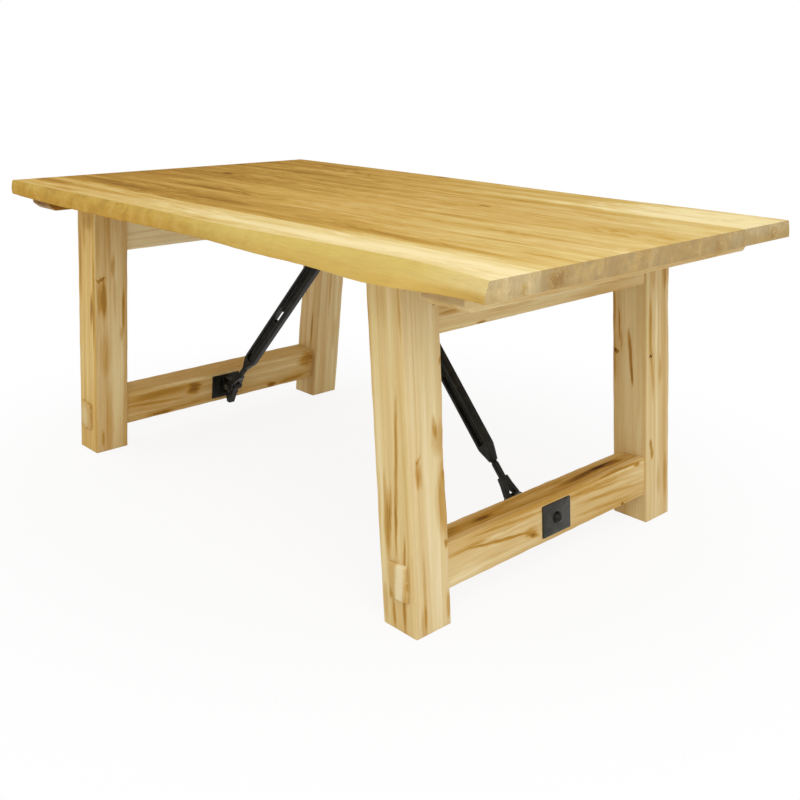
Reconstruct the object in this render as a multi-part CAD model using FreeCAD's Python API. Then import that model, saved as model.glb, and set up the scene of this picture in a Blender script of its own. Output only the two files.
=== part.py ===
"""Trestle dining table with a live-edge plank top and black steel turnbuckle braces.

Millimetres. X runs along the table, Y across it, and Z up from the floor.
The origin is on the floor, under the middle of the table.
"""
import FreeCAD, Part
import math
import os

# Overall size
TABLE_LENGTH = 1829.0
TABLE_WIDTH = 1067.0
TABLE_HEIGHT = 787.0
TOP_THICKNESS = 40.0
LIVE_EDGE_SWELL = 40.0

# Top boards: seams as shares of half the width, from the near side to the far side
SEAM_SHARES = (-0.735, -0.385, -0.025, 0.265, 0.60)

# Live edges: (share of half the length, share of the swell that the edge stands out)
NEAR_TOP_SHARES = ((-1.0, 0.0), (-0.6, 0.05), (-0.16, -0.05), (0.24, -0.03),
                   (0.6, -0.68), (0.79, -0.7), (1.0, -0.08))
NEAR_BOTTOM_SHARES = ((-1.0, 0.08), (-0.52, 0.44), (-0.14, 0.26), (0.11, 0.2), (0.32, 0.55),
                      (0.51, 0.6), (0.65, 0.92), (0.72, 1.0), (0.87, 0.28), (1.0, 0.16))
FAR_TOP_SHARES = ((-1.0, 0.55), (-0.45, 0.5), (0.04, 0.2), (0.43, -0.12), (0.75, -0.05), (1.0, -0.2))
FAR_BOTTOM_SHARES = ((-1.0, 0.9), (-0.7, 1.03), (-0.3, 0.8), (0.1, 0.5), (0.5, 0.25), (0.8, 0.35), (1.0, 0.1))

# Trestles: each leans in at the top, so the feet stand outward
SPLAY_DEGREES = 5.6
TRESTLE_SETBACK = 270.5
LEG_DEPTH = 98.0
LEG_WIDTH = 103.5
LEG_EDGE_SETBACK = 64.5
ARRIS = 4.0

# Lower stretcher, with tenons that run through the legs
STRETCHER_INSET = 6.0
STRETCHER_THICKNESS = 75.0
STRETCHER_DEPTH = 101.4
STRETCHER_RISE = 74.0
TENON_THICKNESS = 50.0
TENON_DEPTH = 80.0
TENON_BOTTOM_SHOULDER = 2.0
TENON_PROUD = 10.0
TENON_BEVEL = 5.0
JOINT_CLEARANCE = 0.2

# Top rail, with blind tenons
RAIL_DEPTH = 134.0
RAIL_TENON_LENGTH = 70.0
RAIL_TENON_SHOULDER = 22.0

# End cleats under the top
CLEAT_SETBACK = 71.5
CLEAT_WIDTH = 105.0
CLEAT_THICKNESS = 35.0
CLEAT_NEAR_SETBACK = 26.0
CLEAT_FAR_SETBACK = 50.0
CLEAT_BEVEL_RUN = 19.0
CLEAT_BEVEL_RISE = 15.0

# Steel plates on the stretchers and under the top
PLATE_WIDTH = 101.0
PLATE_HEIGHT = 76.0
PLATE_THICKNESS = 4.0

# Brackets: a tang stands square on a plate and carries the pin
TANG_THICKNESS = 20.0
TANG_EYE_RADIUS = 16.0
TANG_ROOT_HALF = 33.0
FIN_DROP = 48.0
FIN_WIDTH = 14.0
FIN_NOTCH = 22.0
PIN_STANDOFF = 47.0
PIN_RISE = 13.5
UPPER_PIN_OFFSET = 63.0

# Stud and domed nut through the stretcher
STUD_RADIUS = 8.0
STUD_CLEARANCE = 0.5
NUT_ENGAGEMENT = 7.0
NUT_RADIUS = 14.0
NUT_SINK = 1.5
THREAD_CLEARANCE = 0.05

# Clevis pins and split pins
PIN_RADIUS = 7.0
PIN_CLEARANCE = 0.1
PIN_HEAD_RADIUS = 11.0
PIN_HEAD_THICKNESS = 4.0
PIN_TAIL = 12.0
SPLIT_PIN_RADIUS = 1.6
SPLIT_PIN_LENGTH = 26.0
SPLIT_PIN_EYE_RADIUS = 3.6
SPLIT_PIN_BACKSET = 5.0

# Jaws: a fork on each threaded rod
PRONG_THICKNESS = 11.0
JAW_GAP = 22.0
JAW_EYE_RADIUS = 14.0
PRONG_HALF_HEIGHT = 7.5
PRONG_LENGTH = 16.0
CROTCH_REACH = 38.0
NECK_REACH = 60.0
NECK_RADIUS = 9.0
NECK_SHOULDER = 1.0
NECK_GAP = 6.0
ROD_RADIUS = 8.0
ROD_TIP = 2.0
ROD_GAP = 48.0
ROD_GAP_SHARE = 0.483

# Turnbuckle bodies
BODY_END_GAP = 104.0
BODY_WIDTH = 42.0
BODY_THICKNESS = 25.0
BODY_BEVEL = 4.0
BODY_END_LENGTH = 45.0
BODY_NOSE_RADIUS = 11.0
BODY_NOSE_LENGTH = 50.0
SLOT_WIDTH = 20.0

# Wood screws: small ones hold the cleats and upper brackets, large ones the top rails
SCREW_RADIUS = 2.5
SCREW_HEAD_RADIUS = 5.0
SCREW_POINT = 5.0
SCREW_CLEARANCE = 0.1
SCREW_BITE = 25.0
BRACKET_SCREW_MARGIN = 12.0
LAG_RADIUS = 4.0
LAG_HEAD_RADIUS = 9.0
LAG_HEAD_THICKNESS = 6.0
LAG_RECESS_RADIUS = 11.0
LAG_WOOD = 50.0
OVERRUN = 20.0

# Sizes worked out from the ones above
HALF_LENGTH = TABLE_LENGTH / 2
HALF_WIDTH = TABLE_WIDTH / 2
UNDERSIDE = TABLE_HEIGHT - TOP_THICKNESS
SPLAY = math.radians(SPLAY_DEGREES)
FOOT_X = HALF_LENGTH - TRESTLE_SETBACK + UNDERSIDE * math.tan(SPLAY)
SLOPE_HEIGHT = UNDERSIDE / math.cos(SPLAY)
LEG_OUTER = HALF_WIDTH - LEG_EDGE_SETBACK
LEG_INNER = LEG_OUTER - LEG_WIDTH
STRETCHER_BACK = STRETCHER_INSET + STRETCHER_THICKNESS
STRETCHER_MIDDLE = STRETCHER_RISE + STRETCHER_DEPTH / 2
PLATE_FRONT = STRETCHER_INSET - PLATE_THICKNESS
TENON_INSET = STRETCHER_INSET + (STRETCHER_THICKNESS - TENON_THICKNESS) / 2
JAW_HALF = JAW_GAP / 2 + PRONG_THICKNESS

UP = FreeCAD.Vector(0, 0, 1)
ACROSS = FreeCAD.Vector(0, 1, 0)
ALONG = FreeCAD.Vector(1, 0, 0)
FLOOR_CENTRE = FreeCAD.Vector(0, 0, 0)

# Each trestle is drawn upright with its outer face at x = 0, then leant over and moved to the right end
TRESTLE = FreeCAD.Placement(FreeCAD.Vector(FOOT_X, 0, 0), FreeCAD.Rotation(ACROSS, -SPLAY_DEGREES))

# Both ends of a brace: the lower pin stands off the stretcher, the upper pin hangs below the top
LOWER_PIN = TRESTLE.multVec(FreeCAD.Vector(-STRETCHER_BACK - PIN_STANDOFF, 0, STRETCHER_MIDDLE + PIN_RISE))
UPPER_PIN = FreeCAD.Vector(UPPER_PIN_OFFSET, 0, UNDERSIDE - PIN_STANDOFF)
PIN_DISTANCE = (UPPER_PIN - LOWER_PIN).Length
BRACE_DEGREES = math.degrees(math.atan2(UPPER_PIN.z - LOWER_PIN.z, LOWER_PIN.x - UPPER_PIN.x))
BRACE = FreeCAD.Placement(LOWER_PIN, FreeCAD.Rotation(ACROSS, 180 + BRACE_DEGREES))

os.makedirs("parts", exist_ok=True)


def placed(shape, placement):
    """A copy of the shape, moved by the placement."""
    result = shape.copy()
    result.Placement = placement.multiply(result.Placement)
    return result


def other_end(shape):
    """The timber or screw at the left end: the right one mirrored along the table."""
    return shape.mirror(FLOOR_CENTRE, ALONG)


def half_turn(shape):
    """The steel piece at the left end: the right one turned half round."""
    return placed(shape, FreeCAD.Placement(FLOOR_CENTRE, FreeCAD.Rotation(UP, 180)))


def box(low, high):
    """A box between two corners, each given as x, y, z."""
    size = [b - a for a, b in zip(low, high)]
    return Part.makeBox(*size, FreeCAD.Vector(*low))


def rod(start, end, radius):
    """A round bar between two points."""
    a = FreeCAD.Vector(*start)
    b = FreeCAD.Vector(*end)
    return Part.makeCylinder(radius, (b - a).Length, a, b - a)


def prism(points, along):
    """A polygon of points pushed along a vector."""
    wire = Part.makePolygon([FreeCAD.Vector(*p) for p in points] + [FreeCAD.Vector(*points[0])])
    return Part.Face(wire).extrude(FreeCAD.Vector(*along))


def side_plate(points, half_thickness):
    """A polygon of x, z points, made into a plate centred on y = 0."""
    flat = [(x, -half_thickness, z) for x, z in points]
    return prism(flat, (0, 2 * half_thickness, 0))


def trimmed_rectangle(x0, x1, y0, y1, trim):
    """The corners of a rectangle whose four corners are cut off."""
    return [(x0 + trim, y0), (x1 - trim, y0), (x1, y0 + trim), (x1, y1 - trim),
            (x1 - trim, y1), (x0 + trim, y1), (x0, y1 - trim), (x0, y0 + trim)]


def turned(profile):
    """A profile of (place along x, radius) points turned about the x axis."""
    points = [FreeCAD.Vector(x, 0, r) for x, r in profile]
    wire = Part.makePolygon(points + [points[0]])
    return Part.Face(wire).revolve(FLOOR_CENTRE, FreeCAD.Vector(1, 0, 0), 360)


def write(name, shape):
    """One file for each sub-part."""
    shape.exportStep("parts/" + name + ".step")


# Screws: each stands at its place with the point up
def wood_screw(x, y, z, length):
    """Countersunk screw whose flat head is at z."""
    profile = ((0, 0), (0, SCREW_HEAD_RADIUS), (SCREW_HEAD_RADIUS - SCREW_RADIUS, SCREW_RADIUS),
               (length - SCREW_POINT, SCREW_RADIUS), (length, 0))
    screw = turned(profile)
    return placed(screw, FreeCAD.Placement(FreeCAD.Vector(x, y, z), FreeCAD.Rotation(ACROSS, -90)))


def wood_screw_hole(x, y, z, length):
    """The hole that a wood screw fills, a little larger all round."""
    head = SCREW_HEAD_RADIUS + SCREW_CLEARANCE
    shank = SCREW_RADIUS + SCREW_CLEARANCE
    deep = length + SCREW_CLEARANCE
    profile = ((-OVERRUN, 0), (-OVERRUN, head), (0, head), (SCREW_HEAD_RADIUS - SCREW_RADIUS, shank),
               (deep - SCREW_POINT, shank), (deep, 0))
    hole = turned(profile)
    return placed(hole, FreeCAD.Placement(FreeCAD.Vector(x, y, z), FreeCAD.Rotation(ACROSS, -90)))


def board_middles():
    """Where the middle of each board lies across the table."""
    edges = [-HALF_WIDTH] + [share * HALF_WIDTH for share in SEAM_SHARES] + [HALF_WIDTH]
    return [(a + b) / 2 for a, b in zip(edges, edges[1:])]


CLEAT_OUTER = HALF_LENGTH - CLEAT_SETBACK
CLEAT_SCREW_X = CLEAT_OUTER - CLEAT_WIDTH / 2
CLEAT_SCREW_LENGTH = CLEAT_THICKNESS + SCREW_BITE
CLEAT_SCREWS = [(CLEAT_SCREW_X, y, UNDERSIDE - CLEAT_THICKNESS, CLEAT_SCREW_LENGTH) for y in board_middles()]

BRACKET_SCREW_LENGTH = PLATE_THICKNESS + SCREW_BITE
BRACKET_SCREW_X = PLATE_HEIGHT / 2 - BRACKET_SCREW_MARGIN
BRACKET_SCREW_Y = PLATE_WIDTH / 2 - BRACKET_SCREW_MARGIN
BRACKET_SCREWS = [(UPPER_PIN_OFFSET + sx * BRACKET_SCREW_X, sy * BRACKET_SCREW_Y,
                   UNDERSIDE - PLATE_THICKNESS, BRACKET_SCREW_LENGTH)
                  for sx in (-1, 1) for sy in (-1, 1)]

# The rail screws stand along the lean of the trestle, in the trestle's own upright drawing
RAIL_BOTTOM = SLOPE_HEIGHT - RAIL_DEPTH
RAIL_MIDDLE = -STRETCHER_INSET - STRETCHER_THICKNESS / 2
LAG_SEAT = SLOPE_HEIGHT - LAG_WOOD
LAG_LENGTH = LAG_WOOD + SCREW_BITE


def lag_screw(y):
    """Large screw with a washer head, seated in a recess in the rail."""
    shank = rod((RAIL_MIDDLE, y, LAG_SEAT), (RAIL_MIDDLE, y, LAG_SEAT + LAG_LENGTH), LAG_RADIUS)
    head = rod((RAIL_MIDDLE, y, LAG_SEAT - LAG_HEAD_THICKNESS), (RAIL_MIDDLE, y, LAG_SEAT), LAG_HEAD_RADIUS)
    return shank.fuse(head).removeSplitter()


def lag_hole(y):
    """Pilot hole of a large screw and its recess from below."""
    top = LAG_SEAT + LAG_LENGTH + SCREW_CLEARANCE
    pilot = rod((RAIL_MIDDLE, y, LAG_SEAT), (RAIL_MIDDLE, y, top), LAG_RADIUS + SCREW_CLEARANCE)
    recess = rod((RAIL_MIDDLE, y, RAIL_BOTTOM - OVERRUN), (RAIL_MIDDLE, y, LAG_SEAT), LAG_RECESS_RADIUS)
    return pilot.fuse(recess)


LAG_PLACES = board_middles()[1:-1]
LAG_HOLES = [lag_hole(y) for y in LAG_PLACES]


# Top boards
def edge_curve(shares, side, z):
    """A live edge at one height, from the left end to the right end."""
    points = []
    for along, out in shares:
        points.append(FreeCAD.Vector(along * HALF_LENGTH, side * (HALF_WIDTH + out * LIVE_EDGE_SWELL), z))
    curve = Part.BSplineCurve()
    curve.interpolate(points)
    return curve.toShape()


def seam_line(y, z):
    """A straight seam between boards at one height."""
    return Part.makeLine(FreeCAD.Vector(-HALF_LENGTH, y, z), FreeCAD.Vector(HALF_LENGTH, y, z))


def board_outline(first, second):
    """A closed outline from two long edges."""
    left = Part.makeLine(second.Vertexes[0].Point, first.Vertexes[0].Point)
    right = Part.makeLine(first.Vertexes[-1].Point, second.Vertexes[-1].Point)
    return Part.Wire(Part.__sortEdges__([first, right, second, left]))


def board_edges(z):
    """All long edges of the boards at one height, near side first."""
    lower = z < TABLE_HEIGHT
    near = NEAR_BOTTOM_SHARES if lower else NEAR_TOP_SHARES
    far = FAR_BOTTOM_SHARES if lower else FAR_TOP_SHARES
    seams = [seam_line(share * HALF_WIDTH, z) for share in SEAM_SHARES]
    return [edge_curve(near, -1, z)] + seams + [edge_curve(far, 1, z)]


def top_boards():
    """Planks glued edge to edge, with pilot holes for all that is screwed up into them."""
    holes = [wood_screw_hole(*screw) for screw in CLEAT_SCREWS + BRACKET_SCREWS]
    holes = holes + [placed(hole, TRESTLE) for hole in LAG_HOLES]
    holes = holes + [other_end(hole) for hole in holes]
    bottom = board_edges(UNDERSIDE)
    top = board_edges(TABLE_HEIGHT)
    boards = []
    for i in range(len(bottom) - 1):
        low = board_outline(bottom[i], bottom[i + 1])
        high = board_outline(top[i], top[i + 1])
        board = Part.makeLoft([low, high], True, True)
        boards.append(board.cut(holes))
    return boards


for number, board in enumerate(top_boards(), 1):
    write("top_board_" + str(number), board)


# End cleats
def cleat():
    """Bevelled batten that holds the boards flat, outside the trestle."""
    near = -HALF_WIDTH + CLEAT_NEAR_SETBACK
    far = HALF_WIDTH - CLEAT_FAR_SETBACK
    bottom = UNDERSIDE - CLEAT_THICKNESS
    outline = [(near, UNDERSIDE), (near, bottom + CLEAT_BEVEL_RISE), (near + CLEAT_BEVEL_RUN, bottom),
               (far - CLEAT_BEVEL_RUN, bottom), (far, bottom + CLEAT_BEVEL_RISE), (far, UNDERSIDE)]
    inner = CLEAT_OUTER - CLEAT_WIDTH
    batten = prism([(inner, y, z) for y, z in outline], (CLEAT_WIDTH, 0, 0))
    return batten.cut([wood_screw_hole(*screw) for screw in CLEAT_SCREWS])


right_cleat = cleat()
write("end_cleat_right", right_cleat)
write("end_cleat_left", other_end(right_cleat))

right_cleat_screws = Part.makeCompound([wood_screw(*screw) for screw in CLEAT_SCREWS])
write("cleat_screws_right", right_cleat_screws)
write("cleat_screws_left", other_end(right_cleat_screws))


# Trestle timbers, in the trestle's upright drawing
def between_floor_and_top(shape):
    """The leant shape, cut level at the floor and at the underside of the top."""
    reach = TABLE_LENGTH
    slab = box((-reach, -reach, 0), (reach, reach, UNDERSIDE))
    return placed(shape, TRESTLE).common(slab)


def tenon_block(x0, x1, y0, y1, z0, z1):
    """A square tenon."""
    return box((x0, y0, z0), (x1, y1, z1))


TENON_LOW = STRETCHER_RISE + TENON_BOTTOM_SHOULDER
TENON_HIGH = TENON_LOW + TENON_DEPTH
RAIL_TENON_LOW = RAIL_BOTTOM + RAIL_TENON_SHOULDER
RAIL_TENON_HIGH = SLOPE_HEIGHT - 2 * RAIL_TENON_SHOULDER


def leg(side):
    """Square post with a through mortise below and a blind mortise above; side is -1 near, 1 far."""
    y0, y1 = sorted((side * LEG_INNER, side * LEG_OUTER))
    section = trimmed_rectangle(-LEG_DEPTH, 0, y0, y1, ARRIS)
    post = prism([(x, y, -OVERRUN) for x, y in section], (0, 0, SLOPE_HEIGHT + 2 * OVERRUN))
    c = JOINT_CLEARANCE
    x0 = -TENON_INSET - TENON_THICKNESS - c
    x1 = -TENON_INSET + c
    through = tenon_block(x0, x1, y0 - OVERRUN, y1 + OVERRUN, TENON_LOW - c, TENON_HIGH + c)
    deep = LEG_INNER + RAIL_TENON_LENGTH + c
    b0, b1 = sorted((side * (LEG_INNER - OVERRUN), side * deep))
    blind = tenon_block(x0, x1, b0, b1, RAIL_TENON_LOW - c, RAIL_TENON_HIGH + c)
    return between_floor_and_top(post.cut([through, blind]))


def stretcher():
    """Lower rail between the legs; its bevelled tenons stand a little proud outside."""
    section = trimmed_rectangle(-STRETCHER_BACK, -STRETCHER_INSET, STRETCHER_RISE,
                                STRETCHER_RISE + STRETCHER_DEPTH, ARRIS)
    bar = prism([(x, -LEG_INNER, z) for x, z in section], (0, 2 * LEG_INNER, 0))
    x0 = -TENON_INSET - TENON_THICKNESS
    x1 = -TENON_INSET
    flat_end = LEG_OUTER + TENON_PROUD - TENON_BEVEL
    tenon = tenon_block(x0, x1, -flat_end, flat_end, TENON_LOW, TENON_HIGH)
    bar = bar.fuse(tenon)
    for side in (-1, 1):
        wide = [(x0, TENON_LOW), (x1, TENON_LOW), (x1, TENON_HIGH), (x0, TENON_HIGH)]
        narrow = [(x0 + TENON_BEVEL, TENON_LOW + TENON_BEVEL), (x1 - TENON_BEVEL, TENON_LOW + TENON_BEVEL),
                  (x1 - TENON_BEVEL, TENON_HIGH - TENON_BEVEL), (x0 + TENON_BEVEL, TENON_HIGH - TENON_BEVEL)]
        wires = []
        for corners, y in ((wide, flat_end), (narrow, flat_end + TENON_BEVEL)):
            points = [FreeCAD.Vector(x, side * y, z) for x, z in corners]
            wires.append(Part.makePolygon(points + [points[0]]))
        bar = bar.fuse(Part.makeLoft(wires, True, True))
    hole = rod((-STRETCHER_BACK - OVERRUN, 0, STRETCHER_MIDDLE), (OVERRUN, 0, STRETCHER_MIDDLE),
               STUD_RADIUS + STUD_CLEARANCE)
    return placed(bar.removeSplitter().cut(hole), TRESTLE)


def top_rail():
    """Upper rail between the legs, tight under the top."""
    bar = box((-STRETCHER_BACK, -LEG_INNER, RAIL_BOTTOM),
              (-STRETCHER_INSET, LEG_INNER, SLOPE_HEIGHT + OVERRUN))
    reach = LEG_INNER + RAIL_TENON_LENGTH
    tenon = tenon_block(-TENON_INSET - TENON_THICKNESS, -TENON_INSET, -reach, reach,
                        RAIL_TENON_LOW, RAIL_TENON_HIGH)
    return between_floor_and_top(bar.fuse(tenon).cut(LAG_HOLES))


right_near_leg = leg(-1)
right_far_leg = leg(1)
write("leg_right_near", right_near_leg)
write("leg_right_far", right_far_leg)
write("leg_left_near", other_end(right_near_leg))
write("leg_left_far", other_end(right_far_leg))

right_stretcher = stretcher()
write("stretcher_right", right_stretcher)
write("stretcher_left", other_end(right_stretcher))

right_rail = top_rail()
write("top_rail_right", right_rail)
write("top_rail_left", other_end(right_rail))

right_rail_screws = placed(Part.makeCompound([lag_screw(y) for y in LAG_PLACES]), TRESTLE)
write("rail_screws_right", right_rail_screws)
write("rail_screws_left", other_end(right_rail_screws))


# Steel on the stretcher, in the trestle's upright drawing
def outer_plate():
    """Washer plate flat on the outer side of the stretcher."""
    plate = box((-STRETCHER_INSET, -PLATE_WIDTH / 2, STRETCHER_MIDDLE - PLATE_HEIGHT / 2),
                (-PLATE_FRONT, PLATE_WIDTH / 2, STRETCHER_MIDDLE + PLATE_HEIGHT / 2))
    hole = rod((-STRETCHER_BACK, 0, STRETCHER_MIDDLE), (OVERRUN, 0, STRETCHER_MIDDLE),
               STUD_RADIUS + STUD_CLEARANCE)
    return placed(plate.cut(hole), TRESTLE)


def domed_nut():
    """Low round-topped nut on the end of the stud."""
    dome = Part.makeSphere(NUT_RADIUS, FreeCAD.Vector(-NUT_SINK, 0, 0))
    behind = rod((-2 * NUT_RADIUS, 0, 0), (0, 0, 0), 2 * NUT_RADIUS)
    bore = rod((-OVERRUN, 0, 0), (NUT_ENGAGEMENT + STUD_CLEARANCE, 0, 0), STUD_RADIUS + THREAD_CLEARANCE)
    nut = dome.cut([behind, bore])
    seat = FreeCAD.Placement(FreeCAD.Vector(-PLATE_FRONT, 0, STRETCHER_MIDDLE), FreeCAD.Rotation())
    return placed(placed(nut, seat), TRESTLE)


def pin_hole(x, z):
    """Hole through a tang for its clevis pin."""
    return rod((x, -TANG_THICKNESS, z), (x, TANG_THICKNESS, z), PIN_RADIUS + PIN_CLEARANCE)


def lower_bracket():
    """Inner plate, tang with a low fin, and the stud that draws it tight; one welded piece."""
    face = -STRETCHER_BACK
    plate = box((face - PLATE_THICKNESS, -PLATE_WIDTH / 2, STRETCHER_MIDDLE - PLATE_HEIGHT / 2),
                (face, PLATE_WIDTH / 2, STRETCHER_MIDDLE + PLATE_HEIGHT / 2))
    pin_x = face - PIN_STANDOFF
    pin_z = STRETCHER_MIDDLE + PIN_RISE
    root = face - PLATE_THICKNESS / 2
    fin_tip = STRETCHER_MIDDLE - FIN_DROP
    web = side_plate([(root, STRETCHER_MIDDLE + TANG_ROOT_HALF), (pin_x, pin_z + TANG_EYE_RADIUS),
                      (pin_x - TANG_EYE_RADIUS, pin_z), (pin_x + FIN_WIDTH / 2, fin_tip),
                      (pin_x + 3 * FIN_WIDTH / 2, fin_tip),
                      (pin_x + 2 * FIN_WIDTH, STRETCHER_MIDDLE - FIN_NOTCH),
                      (root, STRETCHER_MIDDLE - FIN_NOTCH)],
                     TANG_THICKNESS / 2)
    eye = rod((pin_x, -TANG_THICKNESS / 2, pin_z), (pin_x, TANG_THICKNESS / 2, pin_z), TANG_EYE_RADIUS)
    stud_end = -PLATE_FRONT + NUT_ENGAGEMENT
    stud = rod((root, 0, STRETCHER_MIDDLE), (stud_end, 0, STRETCHER_MIDDLE), STUD_RADIUS)
    bracket = plate.fuse([web, eye, stud]).removeSplitter().cut(pin_hole(pin_x, pin_z))
    return placed(bracket, TRESTLE)


def upper_bracket():
    """Plate screwed under the middle of the top, with a tang for the upper pin."""
    pin_x = UPPER_PIN.x
    pin_z = UPPER_PIN.z
    plate = box((pin_x - PLATE_HEIGHT / 2, -PLATE_WIDTH / 2, UNDERSIDE - PLATE_THICKNESS),
                (pin_x + PLATE_HEIGHT / 2, PLATE_WIDTH / 2, UNDERSIDE))
    root = UNDERSIDE - PLATE_THICKNESS / 2
    web = side_plate([(pin_x - TANG_ROOT_HALF, root), (pin_x + TANG_ROOT_HALF, root),
                      (pin_x + TANG_EYE_RADIUS, pin_z), (pin_x - TANG_EYE_RADIUS, pin_z)],
                     TANG_THICKNESS / 2)
    eye = rod((pin_x, -TANG_THICKNESS / 2, pin_z), (pin_x, TANG_THICKNESS / 2, pin_z), TANG_EYE_RADIUS)
    bracket = plate.fuse([web, eye]).removeSplitter()
    return bracket.cut([pin_hole(pin_x, pin_z)] + [wood_screw_hole(*screw) for screw in BRACKET_SCREWS])


steel_pieces = {
    "outer_plate": outer_plate(),
    "domed_nut": domed_nut(),
    "lower_bracket": lower_bracket(),
    "upper_bracket": upper_bracket(),
    "bracket_screws": Part.makeCompound([wood_screw(*screw) for screw in BRACKET_SCREWS]),
}
for name, piece in steel_pieces.items():
    write(name + "_right", piece)
    write(name + "_left", half_turn(piece))


# Brace, drawn along x from the lower pin at zero to the upper pin
def fork():
    """A two-pronged jaw on a round neck, about the pin at zero."""
    half_gap = JAW_GAP / 2
    end = NECK_RADIUS + NECK_SHOULDER
    outside = [(-JAW_EYE_RADIUS, -JAW_HALF), (PRONG_LENGTH, -JAW_HALF), (NECK_REACH, -end),
               (NECK_REACH, end), (PRONG_LENGTH, JAW_HALF), (-JAW_EYE_RADIUS, JAW_HALF),
               (-JAW_EYE_RADIUS, half_gap), (PRONG_LENGTH, half_gap), (CROTCH_REACH, 0),
               (PRONG_LENGTH, -half_gap), (-JAW_EYE_RADIUS, -half_gap)]
    plan = prism([(x, y, -JAW_EYE_RADIUS) for x, y in outside], (0, 0, 2 * JAW_EYE_RADIUS))
    eye = rod((0, -JAW_HALF, 0), (0, JAW_HALF, 0), JAW_EYE_RADIUS)
    half = PRONG_HALF_HEIGHT
    cheek = side_plate([(0, -half), (CROTCH_REACH, -half), (NECK_REACH, -end),
                        (NECK_REACH, end), (CROTCH_REACH, half), (0, half)], JAW_HALF)
    hole = rod((0, -JAW_HALF - OVERRUN, 0), (0, JAW_HALF + OVERRUN, 0), PIN_RADIUS + PIN_CLEARANCE)
    return plan.common(eye.fuse(cheek)).cut(hole)


def jaw(rod_end):
    """Fork, neck and threaded rod in one forging; the rod stops at rod_end."""
    neck_end = BODY_END_GAP - NECK_GAP
    stem = turned(((NECK_REACH - ROD_TIP, 0), (NECK_REACH - ROD_TIP, NECK_RADIUS),
                   (neck_end, NECK_RADIUS), (neck_end + ROD_TIP, ROD_RADIUS),
                   (rod_end - ROD_TIP, ROD_RADIUS), (rod_end, ROD_RADIUS - ROD_TIP), (rod_end, 0)))
    return fork().fuse(stem).removeSplitter()


def upper_end(shape):
    """The same piece turned round to the upper pin of the brace."""
    turn = FreeCAD.Rotation(UP, 180)
    return placed(shape, FreeCAD.Placement(FreeCAD.Vector(PIN_DISTANCE, 0, 0), turn))


def turnbuckle_body():
    """Long open body: two side bars between tapered ends that the rods screw into."""
    start = BODY_END_GAP
    end = PIN_DISTANCE - BODY_END_GAP
    section = trimmed_rectangle(-BODY_THICKNESS / 2, BODY_THICKNESS / 2,
                                -BODY_WIDTH / 2, BODY_WIDTH / 2, BODY_BEVEL)
    bar = prism([(start, y, z) for y, z in section], (end - start, 0, 0))
    largest = math.hypot(BODY_WIDTH, BODY_THICKNESS) / 2
    ends = turned(((start, 0), (start, BODY_NOSE_RADIUS), (start + BODY_NOSE_LENGTH, largest),
                   (end - BODY_NOSE_LENGTH, largest), (end, BODY_NOSE_RADIUS), (end, 0)))
    slot = box((start + BODY_END_LENGTH, -BODY_THICKNESS, -SLOT_WIDTH / 2),
               (end - BODY_END_LENGTH, BODY_THICKNESS, SLOT_WIDTH / 2))
    bore = rod((0, 0, 0), (PIN_DISTANCE, 0, 0), ROD_RADIUS + THREAD_CLEARANCE)
    return bar.common(ends).cut([slot, bore])


SPLIT_PIN_Y = JAW_HALF + PIN_TAIL - SPLIT_PIN_BACKSET


def clevis_pin():
    """Headed pin through the jaw and the tang, with a cross hole in its tail."""
    head_inner = -JAW_HALF - PIN_CLEARANCE
    head = rod((0, head_inner - PIN_HEAD_THICKNESS, 0), (0, head_inner, 0), PIN_HEAD_RADIUS)
    shank = rod((0, head_inner, 0), (0, JAW_HALF + PIN_TAIL, 0), PIN_RADIUS)
    cross_hole = rod((0, SPLIT_PIN_Y, -OVERRUN), (0, SPLIT_PIN_Y, OVERRUN),
                     SPLIT_PIN_RADIUS + PIN_CLEARANCE)
    return head.fuse(shank).removeSplitter().cut(cross_hole)


def split_pin():
    """Thin pin with an eye, through the tail of the clevis pin."""
    top = SPLIT_PIN_LENGTH / 2
    stem = rod((0, SPLIT_PIN_Y, -top), (0, SPLIT_PIN_Y, top), SPLIT_PIN_RADIUS)
    centre = FreeCAD.Vector(0, SPLIT_PIN_Y, top + SPLIT_PIN_EYE_RADIUS)
    eye = Part.makeTorus(SPLIT_PIN_EYE_RADIUS, SPLIT_PIN_RADIUS, centre, FreeCAD.Vector(1, 0, 0))
    return stem.fuse(eye).removeSplitter()


GAP_MIDDLE = PIN_DISTANCE * ROD_GAP_SHARE
brace_pieces = {
    "lower_jaw": jaw(GAP_MIDDLE - ROD_GAP / 2),
    "upper_jaw": upper_end(jaw(PIN_DISTANCE - GAP_MIDDLE - ROD_GAP / 2)),
    "turnbuckle_body": turnbuckle_body(),
    "lower_clevis_pin": clevis_pin(),
    "upper_clevis_pin": upper_end(clevis_pin()),
    "split_pins": Part.makeCompound([split_pin(), upper_end(split_pin())]),
}
for name, piece in brace_pieces.items():
    right_piece = placed(piece, BRACE)
    write(name + "_right", right_piece)
    write(name + "_left", half_turn(right_piece))

print("pin distance", round(PIN_DISTANCE, 1), "brace angle", round(BRACE_DEGREES, 2))
print("lower pin", LOWER_PIN, "upper pin", UPPER_PIN)
print("foot", round(FOOT_X, 1), "body middle", BRACE.multVec(FreeCAD.Vector(PIN_DISTANCE / 2, 0, 0)))
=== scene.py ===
"""Live-edge trestle table: planks, trestles and turnbuckle braces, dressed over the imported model.

Metres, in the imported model's own frame: X runs along the table, Y across it, Z up from the floor.
"""
import math

import bmesh
import bpy
import numpy as np
from mathutils import Euler, Matrix, Vector
from mathutils.kdtree import KDTree


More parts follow.
